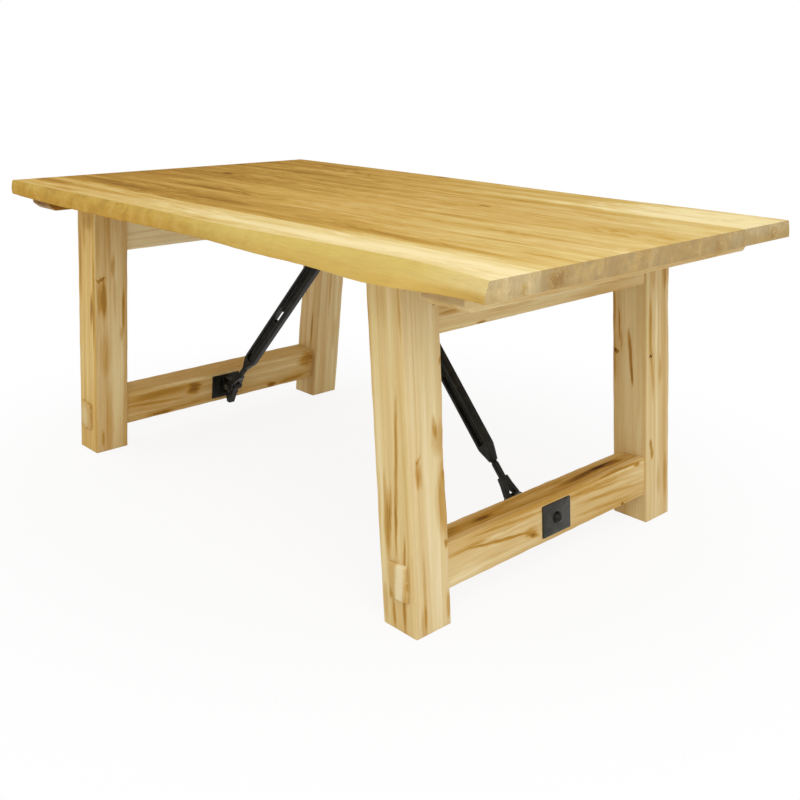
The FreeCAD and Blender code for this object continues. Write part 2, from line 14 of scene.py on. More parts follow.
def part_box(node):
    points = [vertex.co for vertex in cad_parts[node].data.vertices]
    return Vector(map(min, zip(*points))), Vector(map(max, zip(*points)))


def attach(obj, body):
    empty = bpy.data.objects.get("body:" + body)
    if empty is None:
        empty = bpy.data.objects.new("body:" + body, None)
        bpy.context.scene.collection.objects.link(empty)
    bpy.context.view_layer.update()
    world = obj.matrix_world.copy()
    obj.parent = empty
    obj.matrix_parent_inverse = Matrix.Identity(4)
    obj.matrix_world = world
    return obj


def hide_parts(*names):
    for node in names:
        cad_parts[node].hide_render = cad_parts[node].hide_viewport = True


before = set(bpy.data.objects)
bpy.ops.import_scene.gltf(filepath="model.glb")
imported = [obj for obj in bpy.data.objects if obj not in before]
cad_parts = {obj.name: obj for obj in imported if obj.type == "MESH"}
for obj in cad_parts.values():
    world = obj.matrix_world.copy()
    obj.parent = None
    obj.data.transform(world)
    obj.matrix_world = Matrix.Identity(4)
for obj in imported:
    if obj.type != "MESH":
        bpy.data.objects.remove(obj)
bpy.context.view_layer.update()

bl_info = {
    "name": "Live-edge trestle table",
    "version": (1, 0, 0),
    "blender": (4, 5, 0),
    "location": "View3D > Sidebar > Table",
    "description": "Timber, steel and a studio for the packed trestle table",
    "category": "Object",
}

MM = 0.001
ENDS = {"right": 1, "left": -1}
END_NAMES = {1: "right", -1: "left"}
SIDES = {"near": -1, "far": 1}
LEVELS = ("lower", "upper")
BOARDS = 6

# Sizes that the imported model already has
LEG_LOW, LEG_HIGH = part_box("leg_right_near")
FOOT = LEG_HIGH.x
UNDERSIDE = LEG_HIGH.z
LEG_OUTER = -LEG_LOW.y
LEG_INNER = -LEG_HIGH.y
TOP_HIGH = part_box("top_board_3")[1].z
HALF_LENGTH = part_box("top_board_3")[1].x
SEAMS = [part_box("top_board_%d" % number)[0].y for number in range(3, BOARDS)]
SEAMS = [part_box("top_board_1")[1].y] + SEAMS + [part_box("top_board_6")[0].y]

# Sizes of the timbers inside their leaning trestle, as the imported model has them
LEAN = math.radians(5.6)
LEG_DEPTH = 98 * MM
STRETCHER_INSET = 6 * MM
STRETCHER_THICKNESS = 75 * MM
STRETCHER_RISE = 74 * MM
STRETCHER_DEPTH = 101.4 * MM
STRETCHER_MIDDLE = STRETCHER_RISE + STRETCHER_DEPTH / 2
TENON_THICKNESS = 50 * MM
TENON_INSET = STRETCHER_INSET + (STRETCHER_THICKNESS - TENON_THICKNESS) / 2
TENON_LOW = 76 * MM
TENON_DEPTH = 80 * MM
TENON_BEVEL = 5 * MM
TENON_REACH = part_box("stretcher_right")[1].y
RAIL_DEPTH = 134 * MM
RAIL_TENON_LENGTH = 70 * MM
RAIL_TENON_SHOULDER = 22 * MM
MORTISE_GAP = 0.3 * MM
SLOPE_HEIGHT = UNDERSIDE / math.cos(LEAN)
RAIL_TENON_LOW = SLOPE_HEIGHT - RAIL_DEPTH + RAIL_TENON_SHOULDER
RAIL_TENON_HIGH = SLOPE_HEIGHT - 2 * RAIL_TENON_SHOULDER
STUD_HOLE = 8.5 * MM
LAG_RECESS = 11 * MM
LAG_SEAT_DEPTH = 50 * MM
CLEAT_BEVEL_RUN = 19 * MM
CLEAT_BEVEL_RISE = 15 * MM
PLATE_WIDTH = 101 * MM
PLATE_HEIGHT = 76 * MM
PLATE_THICKNESS = 4 * MM
NUT_RADIUS = 14 * MM
NUT_SINK = 1.5 * MM
NECK_END = 98 * MM
ROD_RADIUS = 8 * MM

# Sizes that only the dressing has
DOUBLES = 1e-6
CUT_PAST = 0.03
LEAST_EASE = 1 * MM
TENON_EASE = 1 * MM
CLEAT_RIM = 1 * MM
PLATE_CORNER = 1.5 * MM
WIRE_RADIUS = 0.85 * MM
WIRE_EYE = 3.4 * MM
WIRE_SPLIT = 0.9 * MM
WIRE_REACH = 12 * MM
WIRE_FROM_TAIL = 5 * MM

# Rings or stations of points along each kind of timber
LIVE_STATIONS = 420
SEAM_STATIONS = 16
LEG_RINGS = 96
BAR_RINGS = 74
CLEAT_RINGS = 60

# Profiles turned round an axis: (place along it, radius)
NUT_FOOT = ((0.0, STUD_HOLE), (0.0, 0.0135), (0.0003, 0.0139), (0.0012, 0.0139), (0.0018, 0.0134))
PIN_HEAD = ((0.0, 0.0096), (0.0005, 0.0106), (0.0012, 0.011), (0.0034, 0.011), (0.0040, 0.0104),
            (0.0040, 0.0072), (0.0046, 0.007))
PIN_CHAMFER = (0.0012, 0.0058)

# The live edge: where it lies, how far from the ends its waver fades, its rows as (share of the height, how
# far it is rounded in, in eases) and the strips of skin on the top as (step inwards, how live)
LIVE_EDGE = "live_edge"
LIVE_FROM = 0.49
LIVE_FADE = 0.03
LIVE_ROWS = ((0.0, 1.4), (0.035, 0.35), (0.1, 0), (0.2, 0), (0.32, 0), (0.45, 0), (0.58, 0), (0.7, 0),
             (0.8, 0), (0.88, 0), (0.94, 0), (0.975, 0.35), (1.0, 1.4))
LIVE_ON_TOP = ((0.002, 0.45), (0.006, 0.1), (0.014, 0.0))

# Where the drawknife's passes meet on a live edge: (place along it, height of the ridge), in millimetres
RIDGES = ((-542, 1.4), (-485, -1.2), (-125, 1.3), (63, 1.1), (468, 1.2), (-760, 1.0), (250, -0.8), (690, 0.9))
RIDGE_HALF = 0.016

# Threaded bars: rows of points over a head and for each turn of thread, points round them, and their sizes
HEAD_ROWS = 6
ROD_STEPS = 6
SCREW_STEPS = 4
LAG_TURNS = 30
AROUND = 20
THREAD_INPUTS = (("Length", 0.25), ("Radius", 0.008), ("Pitch", 0.0023), ("Depth", 0.0009),
                 ("Head radius", 0.008), ("Head height", 0.0), ("Head taper", 0.0), ("Recess", 0.0),
                 ("Tip", 0.004))
SMALL_SCREW = {"radius": 2.5 * MM, "pitch": 2.4 * MM, "depth": 0.7 * MM, "head_radius": 5 * MM,
               "head_height": 2.5 * MM, "head_taper": 1.0, "recess": 2.0 * MM, "tip": 5 * MM}
LAG_SCREW = {"length": 81 * MM, "radius": 4 * MM, "pitch": 3 * MM, "depth": 1.0 * MM, "head_radius": 9 * MM,
             "head_height": 6 * MM, "head_taper": 0.0, "recess": 2.5 * MM, "tip": 6 * MM}

# Marks of the legs, the share of the bleach on each leg's near face (painted light: the near faces kept
# warmer than the sides), and where the battens' grain is drawn from
CROSSWAYS = ("near", "far")
LEG_MARK_DEPTH = 9
NEAR_FACE_LIGHT_TINT = {("left", "near"): 0.1, ("right", "near"): 0.6}
BATTEN_X = 0.79
BATTEN_Z = 0.73

# Directions
ACROSS = Vector((0, 1, 0))
SIDEWAYS = (0, 0, math.pi / 2)
X_UPWARDS = Matrix.Rotation(-math.pi / 2, 4, "Y")

# Stage: lamps as (name, place, point they look at, size)
WHITE = (1, 1, 1, 1)
FLOOR_HALF = 40.0
LAMPS = (("key", (2.6, -1.8, 3.2), (0.2, 0, 0.5), 2.4), ("fill", (-2.6, -2.6, 2.2), (0, 0, 0.5), 2.5),
         ("side", (6.5, 1.0, 1.4), (0, 0, 0.4), 3.0))

# The photograph's camera
CAMERA_PLACE = (1.97264, -1.78283, 1.13312)
CAMERA_YAW = 0.8374
CAMERA_PITCH = -0.272
CAMERA_ROLL = 0.0097
CAMERA_LENS = 45.4506
CAMERA_SHIFT = (0.0587, -0.0719)
SENSOR_WIDTH = 36


def colour(code):
    """A colour written as six hexadecimal digits, in the linear values that sockets hold."""
    levels = [int(code[i:i + 2], 16) / 255 for i in (0, 2, 4)]
    return [(v / 12.92 if v <= 0.04045 else ((v + 0.055) / 1.055) ** 2.4) for v in levels]


def solid(shade):
    """A colour property as a socket's four numbers."""
    return (*shade, 1.0)


def colour_property(name, description, code):
    """A colour that a user can change."""
    return bpy.props.FloatVectorProperty(name=name, description=description, subtype="COLOR",
                                         size=3, min=0, max=1, default=colour(code))


def number_property(name, description, default, **kind):
    """A number from zero up that a user can change."""
    return bpy.props.FloatProperty(name=name, description=description, min=0, default=default, **kind)


def length_property(name, description, millimetres):
    """A length that a user can change."""
    return number_property(name, description, millimetres * MM, unit="LENGTH", precision=5)


class TimberSettings(bpy.types.PropertyGroup):
    """Sizes and colours of the planks and timbers."""

    cream: colour_property("Cream", "Palest sapwood", "FAE6B0")
    pale: colour_property("Pale", "Clean pale timber", "E6CA86")
    gold: colour_property("Gold", "Middle of the range, under lacquer", "D0A757")
    amber: colour_property("Amber", "Heartwood bands", "B4873B")
    brown: colour_property("Brown", "Brown streaks", "8A6029")
    dark: colour_property("Dark", "Knots and mineral lines", "4C3118")
    end_grain: colour_property("End grain", "Sawn ends across the grain", "9C8461")
    live_high: colour_property("Live edge, upper", "Sanded live edge near the top", "D3BA61")
    live_low: colour_property("Live edge, lower", "Sanded live edge near the underside", "CAA851")
    live_warm: colour_property("Live edge, warm", "Live edge towards its left end", "C0933A")
    arris: length_property("Arris", "Rounding of a timber's long corners", 4.0)
    foot_ease: length_property("Foot ease", "Rounding round the foot of a leg", 1.5)
    top_ease: length_property("Top ease", "Rounding round the rim of the top", 1.0)
    seam_ease: length_property("Seam ease", "Rounding along the glued seams", 0.2)
    waver: length_property("Waver", "How far a planed face strays from flat", 0.25)
    live_waver: length_property("Live edge waver", "How far the live edge strays from its line", 1.5)
    belly: length_property("Belly", "How far the live edge bulges between its two arrises", 2.5)
    bleach: number_property("Bleach", "How much paler and greyer the frame is", 0.22, max=1, subtype="FACTOR")
    sheen: number_property("Sheen", "Share of clear lacquer", 0.03, max=1, subtype="FACTOR")


class SteelSettings(bpy.types.PropertyGroup):
    """Sizes and colours of the black steel."""

    satin: colour_property("Satin black", "Black finish of the outer plates and clevis pins", "23211B")
    forged: colour_property("Forged black", "Black finish of jaws, bodies and brackets", "15140F")
    glossy: colour_property("Glossy black", "Black finish of the domed nuts", "121210")
    dusty: colour_property("Dusty", "Paler bloom on the black finish", "413E32")
    worn: colour_property("Worn", "Bare steel where corners rub", "6A665C")
    oxide: colour_property("Black oxide", "Screws and split pins", "2B2B29")
    pitch: length_property("Thread pitch", "Distance between the turns of the rods' threads", 2.3)
    thread_depth: length_property("Thread depth", "Depth of the rods' threads", 0.9)
    grain_size: length_property("Forging grain", "Smallest form kept on forged pieces", 0.9)
    plate_ease: length_property("Plate ease", "Rounding round a steel plate", 1.0)


class StageSettings(bpy.types.PropertyGroup):
    """Floor and lamps."""

    floor: colour_property("Floor", "Studio floor", "F2F2F2")
    world_level: number_property("World level", "Light from all round", 0.76)
    key_level: number_property("Key level", "Power of the main lamp", 42.0, unit="POWER")
    fill_level: number_property("Fill level", "Power of the second lamp", 12.0, unit="POWER")
    side_level: number_property("Side level", "Power of the lamp off the right end", 48.0, unit="POWER")
    side_tint: colour_property("Side tint", "Colour of the lamp off the right end", "DDEBFF")


# Node trees
def maths_method(operation, swapped=False):
    """A method for one of Python's operators that adds a Math node."""
    def method(value, other):
        terms = (other, value) if swapped else (value, other)
        return value.tree.maths(operation, *terms)
    return method


class Value:
    """A socket whose sums, products and powers add Math nodes to its tree."""

    __add__ = maths_method("ADD")
    __radd__ = maths_method("ADD", True)
    __sub__ = maths_method("SUBTRACT")
    __rsub__ = maths_method("SUBTRACT", True)
    __mul__ = maths_method("MULTIPLY")
    __rmul__ = maths_method("MULTIPLY", True)
    __truediv__ = maths_method("DIVIDE")
    __rtruediv__ = maths_method("DIVIDE", True)
    __pow__ = maths_method("POWER")
    __rpow__ = maths_method("POWER", True)

    def __init__(self, tree, socket):
        self.tree = tree
        self.socket = socket

    def maths(self, operation, *others):
        """One Math node on this value and others."""
        return self.tree.maths(operation, self, *others)

    def held(self):
        """The value, kept from 0 to 1."""
        return self.maths("MAXIMUM", 0.0).maths("MINIMUM", 1.0)

    def outputs(self):
        """All named outputs of the value's node."""
        return {socket.name: Value(self.tree, socket) for socket in self.socket.node.outputs if socket.name}


class Tree:
    """Adds nodes to a shader or geometry tree."""

    def __init__(self, owner):
        self.nodes = owner.nodes
        self.links = owner.links
        self.nodes.clear()

    def add(self, kind, settings=None, sockets=None, output=0):
        """One node: its settings first, then the values or links of its sockets."""
        node = self.nodes.new(kind)
        for key, value in (settings or {}).items():
            if key == "stops":
                self._set_ramp(node.color_ramp, value)
            else:
                setattr(node, key, value)
        for key, value in (sockets or {}).items():
            socket = node.inputs[key]
            if isinstance(value, Value):
                self.links.new(value.socket, socket)
            else:
                socket.default_value = value
        return Value(self, node.outputs[output]) if node.outputs else None

    @staticmethod
    def _set_ramp(ramp, stops):
        """Places a colour ramp's stops, given as (place, colour)."""
        while len(ramp.elements) < len(stops):
            ramp.elements.new(1.0)
        for element, (place, shade) in zip(ramp.elements, stops):
            element.position = place
            element.color = solid(shade)

    def maths(self, operation, *terms):
        """One Math node on these terms."""
        return self.add("ShaderNodeMath", {"operation": operation}, dict(enumerate(terms)))

    def vector(self, operation, *terms, output=0):
        """One Vector Math node on these terms."""
        return self.add("ShaderNodeVectorMath", {"operation": operation}, dict(enumerate(terms)), output)

    def along(self, place, direction):
        """How far a place or a facing goes along a direction."""
        return self.vector("DOT_PRODUCT", place, direction, output="Value")

    def axes(self, place):
        """The x, y and z of a place."""
        return self.add("ShaderNodeSeparateXYZ", {}, {0: place}).outputs().values()

    def noise(self, place, scales, offset, detail=2.0, roughness=0.5, output=0):
        """Noise on a place that is stretched by three scales and moved by a seed."""
        stretched = self.vector("MULTIPLY_ADD", place, scales, (offset, offset * 1.7, offset * 2.3))
        return self.add("ShaderNodeTexNoise", {}, {"Vector": stretched, "Scale": 1.0, "Detail": detail,
                                                   "Roughness": roughness}, output)

    def wobble(self, place, scales, offset, roughness):
        """Noise in three directions, round zero."""
        shift = self.noise(place, scales, offset, 2.0, roughness, "Color")
        return self.vector("SUBTRACT", shift, (0.5, 0.5, 0.5))

    def between(self, value, low, high, start=0.0, end=1.0):
        """A smooth step of the value from low to high, read from start to end."""
        return self.add("ShaderNodeMapRange", {"interpolation_type": "SMOOTHSTEP"},
                        {"Value": value, "From Min": low, "From Max": high, "To Min": start, "To Max": end})

    def mix(self, share, first, second):
        """A mix of two colours."""
        return self.add("ShaderNodeMix", {"data_type": "RGBA"}, {0: share, 6: first, 7: second}, 2)


def new_material(name):
    """An empty material and its tree."""
    material = bpy.data.materials.new(name)
    material.use_nodes = True
    return material, Tree(material.node_tree)


def finish_material(tree, shade, roughness, height, constants, metallic=0.0, lift=0.25, depth=0.4 * MM):
    """Joins colour, roughness and a bump to the surface."""
    normal = tree.add("ShaderNodeBump", {}, {"Strength": lift, "Distance": depth, "Height": height})
    sockets = {"Base Color": shade, "Roughness": roughness, "Metallic": metallic, "Normal": normal}
    surface = tree.add("ShaderNodeBsdfPrincipled", {}, {**sockets, **constants})
    tree.add("ShaderNodeOutputMaterial", {}, {"Surface": surface})


class Grain:
    """How a timber was cut: where its drawing starts, which way its grain runs (its own x), and its heart."""

    def __init__(self, origin, turn, heart, tilt, ring):
        self.origin = origin
        self.turn = turn
        self.heart = heart
        self.tilt = tilt
        self.ring = ring

    def local(self, point):
        """A point of the table in the timber's own axes."""
        return Euler(self.turn).to_matrix().transposed() @ (Vector(point) - Vector(self.origin))


def with_marks(tree, depth, marks, grain, found, ragged):
    """The tone with each mark added at its place, its rim ragged."""
    lengthwise = tree.along(found, (1.0, 0.0, 0.0))
    for spot, half, amount, *slants in marks:
        centre = grain.local(spot)
        scales = [1 / size for size in half]
        slope = [-t * s for t, s in zip((0.0, *slants), scales)] if slants else [0.0] * 3
        offset = [-c * s - centre.x * t for c, s, t in zip(centre, scales, slope)]
        near = tree.vector("MULTIPLY_ADD", found, scales, offset)
        if slants:
            near = tree.vector("MULTIPLY_ADD", lengthwise, slope, near)
        reach = tree.vector("LENGTH", near, output="Value") + ragged
        depth = depth + tree.between(reach, 0.35, 1.05, amount, 0.0)
    return depth


def live_skin(tree, place, found, fine, seed, settings):
    """Colours of the sanded live edge, by its height and by its place along the top."""
    right, _, height = tree.axes(place)
    rise = tree.between(height, UNDERSIDE, TOP_HIGH)
    bark = tree.noise(found, (9.0, 30.0, 45.0), seed + 6.1, 4.0, 0.6)
    # Darker towards the underside (live_low): partly the edge's own colour, partly painted shade on the lower
    # band that faces down
    skin = tree.mix(rise + (bark - 0.5) * 1.5, solid(settings.live_low), solid(settings.live_high))
    warm = tree.between(right, -0.2, 0.18, 0.95, 0.10) + tree.between(bark, 0.5, 0.7, 0.0, 0.45)
    tip = tree.between(right, 0.7, 0.88)
    lower = tree.between(rise, 0.1, 0.6, 1.0, 0.0)
    warm = warm + tip * lower * 0.35
    spots = tree.noise(found, (26.0, 30.0, 14.0), seed + 9.6, 3.0, 0.6)
    mottle = tree.between(spots, 0.5, 0.62) * tree.between(right, -0.3, 0.4, 0.30, 0.05)
    glint = tree.between(spots, 0.36, 0.46, 0.18, 0.0) * tree.between(right, -0.3, 0.4, 1.0, 0.4)
    for share, shade in ((warm * (1.15 - rise * 0.5), settings.live_warm),
                         (tip * (1 - lower) * 0.35, settings.cream),
                         (tree.between(fine, 0.45, 0.7, 0.0, 0.12), settings.brown),
                         (mottle, settings.brown),
                         (glint, settings.pale)):
        skin = tree.mix(share, skin, solid(shade))
    return skin


def timber_material(name, grain, seed, tone, marks, settings, streaks=0.5, rings=0.3, live=False, drift=0.0,
                    spread=1.0, ends=0.80, bleach=0.0, near_face_light_tint=1.0, gloss=0.0, run=1.0, sway_by=0.06,
                    strips=0.0, ragged_by=1.0, sawn_from=0.6):
    """Lacquered timber: bands and brown streaks along the grain, growth rings, and marks at their places.

    tone runs from 0, cream sapwood, to 1, dark, and drift adds to it along the timber. Each mark is (place,
    half sizes in the timber's own axes, amount added to the tone), and may end with its slants against the
    grain. streaks and rings say how strong those are. A larger spread makes all bands narrower, a larger run
    makes streaks longer, sway_by is how far they bend, and ragged_by how ragged the marks' rims are.
    ends is how much darker and greyer the sawn ends are, and sawn_from how squarely they have to face.
    strips is the depth of the narrow straight strips.
    bleach turns the paler tones beige, on the near face by near_face_light_tint times as much: that
    difference between the faces is painted light, the near face warmer and the sides cooler.
    """
    material, tree = new_material(name)
    place = tree.add("ShaderNodeTexCoord", {}, {}, "Object")
    flat = tree.add("ShaderNodeMapping", {"vector_type": "TEXTURE"},
                    {"Vector": place, "Location": grain.origin, "Rotation": grain.turn})
    sway = tree.wobble(flat, (1.6, 6.0, 6.0), seed, 0.5)
    bent = tree.vector("MULTIPLY_ADD", sway, (0.0, sway_by, sway_by), flat)
    ripple = tree.wobble(bent, (14.0, 60.0, 60.0), seed + 3.1, 0.6)
    wavy = tree.vector("MULTIPLY_ADD", ripple, (0.03, 0.007, 0.007), bent)
    found = tree.vector("MULTIPLY_ADD", ripple, (0.05, 0.006, 0.006), flat)

    along, across, deep = tree.axes(wavy)
    across = across - grain.heart[0] - grain.tilt[0] * along
    deep = deep - grain.heart[1] - grain.tilt[1] * along
    radius = (across * across + deep * deep) ** 0.5
    growth = radius * (1 / grain.ring)
    polar = tree.add("ShaderNodeCombineXYZ", {}, {0: along, 1: growth, 2: deep.maths("ARCTAN2", across)})

    def layer(length, width, offset, detail=3.0, roughness=0.55):
        """Noise drawn out along the grain: typical length and width of its patches."""
        scales = (1 / length, spread / width, spread / width)
        return tree.noise(wavy, scales, seed + offset, detail, roughness)

    uneven = tree.noise(polar, (0.7, 0.33, 1.2), seed + 5.7, 2.0, 0.5)
    ring = (growth + uneven * 2.6).maths("FRACT")
    late = tree.between(ring, 0.35, 0.9) - tree.between(ring, 0.9, 1.0)
    ring_depth = tree.between(tree.noise(polar, (2.2, 0.21, 1.6), seed + 9.2, 1.0, 0.5), 0.38, 0.68)
    broad = tree.noise(polar, (0.9, 0.36, 1.4), seed + 1.3, 3.0, 0.55)
    bands = layer(0.9, 0.058, 1.9, 2.0, 0.5)
    patch = layer(0.17 * run, 0.03, 6.6, 3.0, 0.6)
    vein = tree.between(layer(0.45 * run, 0.015, 2.9), 0.57, 0.75)
    pale_vein = tree.between(layer(0.6 * run, 0.021, 12.4), 0.56, 0.72)
    fine = layer(0.2 * run, 0.0052, 7.1, 3.0, 0.6)
    fibre = tree.noise(wavy, (30.0, 1000.0, 1000.0), seed + 4.4, 2.0, 0.6)
    pores = tree.between(tree.noise(wavy, (70.0, 1300.0, 1300.0), seed + 8.3, 1.0, 0.5), 0.66, 0.78)

    facing = tree.add("ShaderNodeTexCoord", {}, {}, "Normal")
    sawn = tree.along(facing, tuple(Euler(grain.turn).to_matrix() @ Vector((1, 0, 0)))).maths("ABSOLUTE")
    sawn = tree.between(sawn, sawn_from, sawn_from + 0.25)
    calm = 1 - sawn * ((1 - ends) * 0.85)
    depth = (bands - 0.5) * (streaks * 1.4) + (broad - 0.5) * (streaks * 0.6)
    depth = depth + (patch - 0.5) * (streaks * 0.75)
    depth = depth + (vein - pale_vein) * (streaks * 0.40) + (fine - 0.5) * (streaks * 0.30)
    depth = depth + late * ring_depth * rings + (fibre - 0.5) * 0.09 + pores * 0.05
    depth = depth * calm + tone
    if strips:
        strip = tree.noise(bent, (0.5, 75.0, 75.0), seed + 14.2, 2.0, 0.5)
        depth = depth + (tree.between(strip, 0.36, 0.64) - 0.5) * strips
    if drift:
        depth = depth + along * drift
    ragged = ((patch - 0.5) * (1.1 * ragged_by) + (fine - 0.5) * (0.9 * ragged_by)) * calm
    depth = with_marks(tree, depth, marks, grain, found, ragged)

    stops = [(0.0, settings.cream), (0.22, settings.pale), (0.45, settings.gold),
             (0.64, settings.amber), (0.84, settings.brown), (1.0, settings.dark)]
    shade = tree.add("ShaderNodeValToRGB", {"stops": stops}, {"Fac": depth})
    tint = tree.noise(flat, (1.3, 11.0, 11.0), seed + 7.5, 2.0, 0.5)
    shade = tree.mix(tree.between(tint, 0.4, 0.62, 0.0, 0.3), shade,
                     tree.vector("MULTIPLY", shade, (0.97, 1.0, 0.84)))
    if bleach:
        beige = tree.vector("MULTIPLY_ADD", shade, (0.0, 0.2, 0.7), (0.53, 0.37, 0.29))
        # Painted light: the face towards -Y takes a different share of the beige than the other faces, as if
        # it were lit warmer
        share = tree.between(tree.along(facing, (0.0, -1.0, 0.0)), 0.6, 0.85, bleach, bleach * near_face_light_tint)
        shade = tree.mix(share * tree.between(depth, 0.42, 0.66, 1.0, 0.0), shade, beige)

    blotch = tree.noise(wavy, (1.0, 24.0, 16.0), seed + 3.7, 4.0, 0.65)
    speckle = tree.noise(wavy, (1.0, 260.0, 60.0), seed + 8.8, 3.0, 0.7)
    cut = tree.mix((blotch - 0.42) * 2.0 + (speckle - 0.5) * 1.1 + late * 0.10, solid(settings.end_grain),
                   tree.vector("MULTIPLY", shade, (0.77, 0.69, 0.67)))
    shade = tree.mix(sawn * ends, shade, cut)
    if live:
        edge = tree.add("ShaderNodeAttribute", {"attribute_name": LIVE_EDGE}, {}, "Fac")
        skin = live_skin(tree, place, found, fine, seed, settings)
        shade = tree.mix(edge * (1 - sawn * 0.8) * 0.88, shade, skin)
    roughness = (fibre - 0.5) * 0.18 + late * 0.04 + sawn * 0.22 + 0.42
    height = fibre * 0.6 + fine * 0.6 - late * ring_depth * 0.3 - pores * 0.5 + sawn * speckle * 0.8
    finish_material(tree, shade, roughness, height, {"Coat Weight": settings.sheen, "Coat Roughness": 0.25,
                                                     "IOR": 1.45, "Specular IOR Level": gloss})
    return material


def steel_material(name, settings, seed, dark, shine=0.0, bloom=0.8, index=1.5):
    """Blackened steel: uneven satin black, paler bloom, and bare metal where corners rub."""
    material, tree = new_material(name)
    place = tree.add("ShaderNodeTexCoord", {}, {}, "Object")
    cloud = tree.noise(place, (38,) * 3, seed, 4.0, 0.6)
    hammer = tree.noise(place, (190,) * 3, seed + 2.2, 3.0, 0.55)
    grit = tree.noise(place, (1400,) * 3, seed + 4.1, 2.0, 0.6)
    corner = tree.add("ShaderNodeNewGeometry", {}, {}, "Pointiness")
    rubbed = tree.between(corner + (hammer - 0.5) * 0.05, 0.53, 0.60)
    shade = tree.mix(tree.between(cloud, 0.42, 0.7, 0.0, bloom), solid(dark), solid(settings.dusty))
    shade = tree.mix(tree.between(grit, 0.55, 0.75, 0.0, 0.35), shade, solid(settings.dusty))
    shade = tree.mix(rubbed * (bloom * 0.55), shade, solid(settings.worn))
    roughness = cloud * 0.25 + (grit - 0.5) * 0.12 - rubbed * 0.12 + (0.33 - shine)
    height = hammer * 1.0 + grit * 0.25
    finish_material(tree, shade, roughness, height, {"IOR": index}, metallic=rubbed * 0.5 + 0.35,
                    lift=0.35, depth=0.5 * MM)
    return material


# Meshes
def wander(along, seed, waves, size):
    """A smooth wavering line: a few sines of seeded phase."""
    numbers = np.random.default_rng(seed)
    total = np.zeros_like(along)
    for wave in waves:
        total = total + np.sin(math.tau * (along / wave + numbers.random())) * (0.6 + 0.4 * numbers.random())
    return size * total / len(waves)


def bump(along, middle, half):
    """A smooth hump of height 1."""
    return np.clip(1 - ((along - middle) / half) ** 2, 0, None) ** 2


def smooth_mesh(mesh, degrees=32):
    """Smooth shading that stays crisp at corners."""
    mesh.shade_smooth()
    mesh.set_sharp_from_angle(angle=math.radians(degrees))
    return mesh


def cleaned(mesh, merge=True, turn_out=True):
    """The mesh with its doubles merged and its faces pointing outwards."""
    work = bmesh.new()
    work.from_mesh(mesh)
    if merge:
        bmesh.ops.remove_doubles(work, verts=work.verts, dist=DOUBLES)
    if turn_out:
        bmesh.ops.recalc_face_normals(work, faces=work.faces)
    work.to_mesh(mesh)
    work.free()
    return mesh


def mesh_of(points, faces):
    """A mesh of points and faces, as they are given."""
    mesh = bpy.data.meshes.new("work")
    mesh.from_pydata([tuple(p) for p in points], [], faces)
    return mesh


def loft(rings):
    """A closed skin over rings of points that all have the same count."""
    rings = np.asarray(rings, float)
    count = rings.shape[1]
    faces = [tuple(range(count))[::-1]]
    for i in range(len(rings) - 1):
        for j in range(count):
            k = (j + 1) % count
            faces.append((i * count + j, i * count + k, (i + 1) * count + k, (i + 1) * count + j))
    last = (len(rings) - 1) * count
    faces.append(tuple(last + j for j in range(count)))
    return cleaned(mesh_of(rings.reshape(-1, 3), faces))


def eased(x0, x1, y0, y1, ease, fill=4, steps=3):
    """A rectangle with rounded corners as a ring of points, with a few points along each side."""
    corners = ((x1, y0, 1, -1, -90), (x1, y1, 1, 1, 0), (x0, y1, -1, 1, 90), (x0, y0, -1, -1, 180))
    arcs = []
    for x, y, sx, sy, start in corners:
        turn = [math.radians(start + 90 * i / steps) for i in range(steps + 1)]
        arcs.append([(x - sx * ease + ease * math.cos(a), y - sy * ease + ease * math.sin(a)) for a in turn])
    ring = []
    for arc, following in zip(arcs, arcs[1:] + arcs[:1]):
        last, first = np.array(arc[-1]), np.array(following[0])
        ring += arc + [tuple(last + (first - last) * i / fill) for i in range(1, fill)]
    return np.array(ring)


def circle(radius, count):
    """A ring of points round zero."""
    turn = np.arange(count) * math.tau / count
    return np.stack((radius * np.cos(turn), radius * np.sin(turn)), 1)


def lathe(profile, place, count=48):
    """A profile of (place along x, radius) turned about x, then put in place by a matrix."""
    rings = [np.column_stack((np.full(count, x), circle(max(r, 1e-5), count))) for x, r in profile]
    mesh = loft(rings)
    mesh.transform(place)
    return mesh


def block(across, along, height, place):
    """A square cutter in a drawing place."""
    section = ((across[0], height[0]), (across[1], height[0]), (across[1], height[1]), (across[0], height[1]))
    mesh = loft([[(x, y, z) for x, z in section] for y in along])
    mesh.transform(place)
    return mesh


def sweep(path, radius, count=10):
    """A round wire along a path of points."""
    path = [Vector(p) for p in path]
    rings = []
    side = ACROSS
    for i, point in enumerate(path):
        ahead = (path[min(i + 1, len(path) - 1)] - path[max(i - 1, 0)]).normalized()
        side = (side - side.dot(ahead) * ahead).normalized()
        other = ahead.cross(side)
        rings.append([tuple(point + side * u + other * v) for u, v in circle(radius, count)])
    return loft(rings)


def joined(meshes):
    """Several meshes as one."""
    work = bmesh.new()
    for mesh in meshes:
        work.from_mesh(mesh)
    result = bpy.data.meshes.new("work")
    work.to_mesh(result)
    work.free()
    return result


def shown(name, data):
    """A new object in the scene."""
    holder = bpy.data.objects.new(name, data)
    bpy.context.scene.collection.objects.link(holder)
    return holder


def baked(holder):
    """The mesh of a passing object with its modifiers applied; the object goes."""
    bpy.context.view_layer.update()
    view = bpy.context.evaluated_depsgraph_get()
    mesh = bpy.data.meshes.new_from_object(holder.evaluated_get(view))
    bpy.data.objects.remove(holder)
    return mesh


def carved(mesh, cutters):
    """The mesh with the cutters taken out of it."""
    holder = shown("scratch", mesh)
    tool = shown("scratch", joined(cutters))
    modifier = holder.modifiers.new("carve", "BOOLEAN")
    modifier.operation = "DIFFERENCE"
    modifier.solver = "EXACT"
    modifier.object = tool
    result = baked(holder)
    bpy.data.objects.remove(tool)
    return result


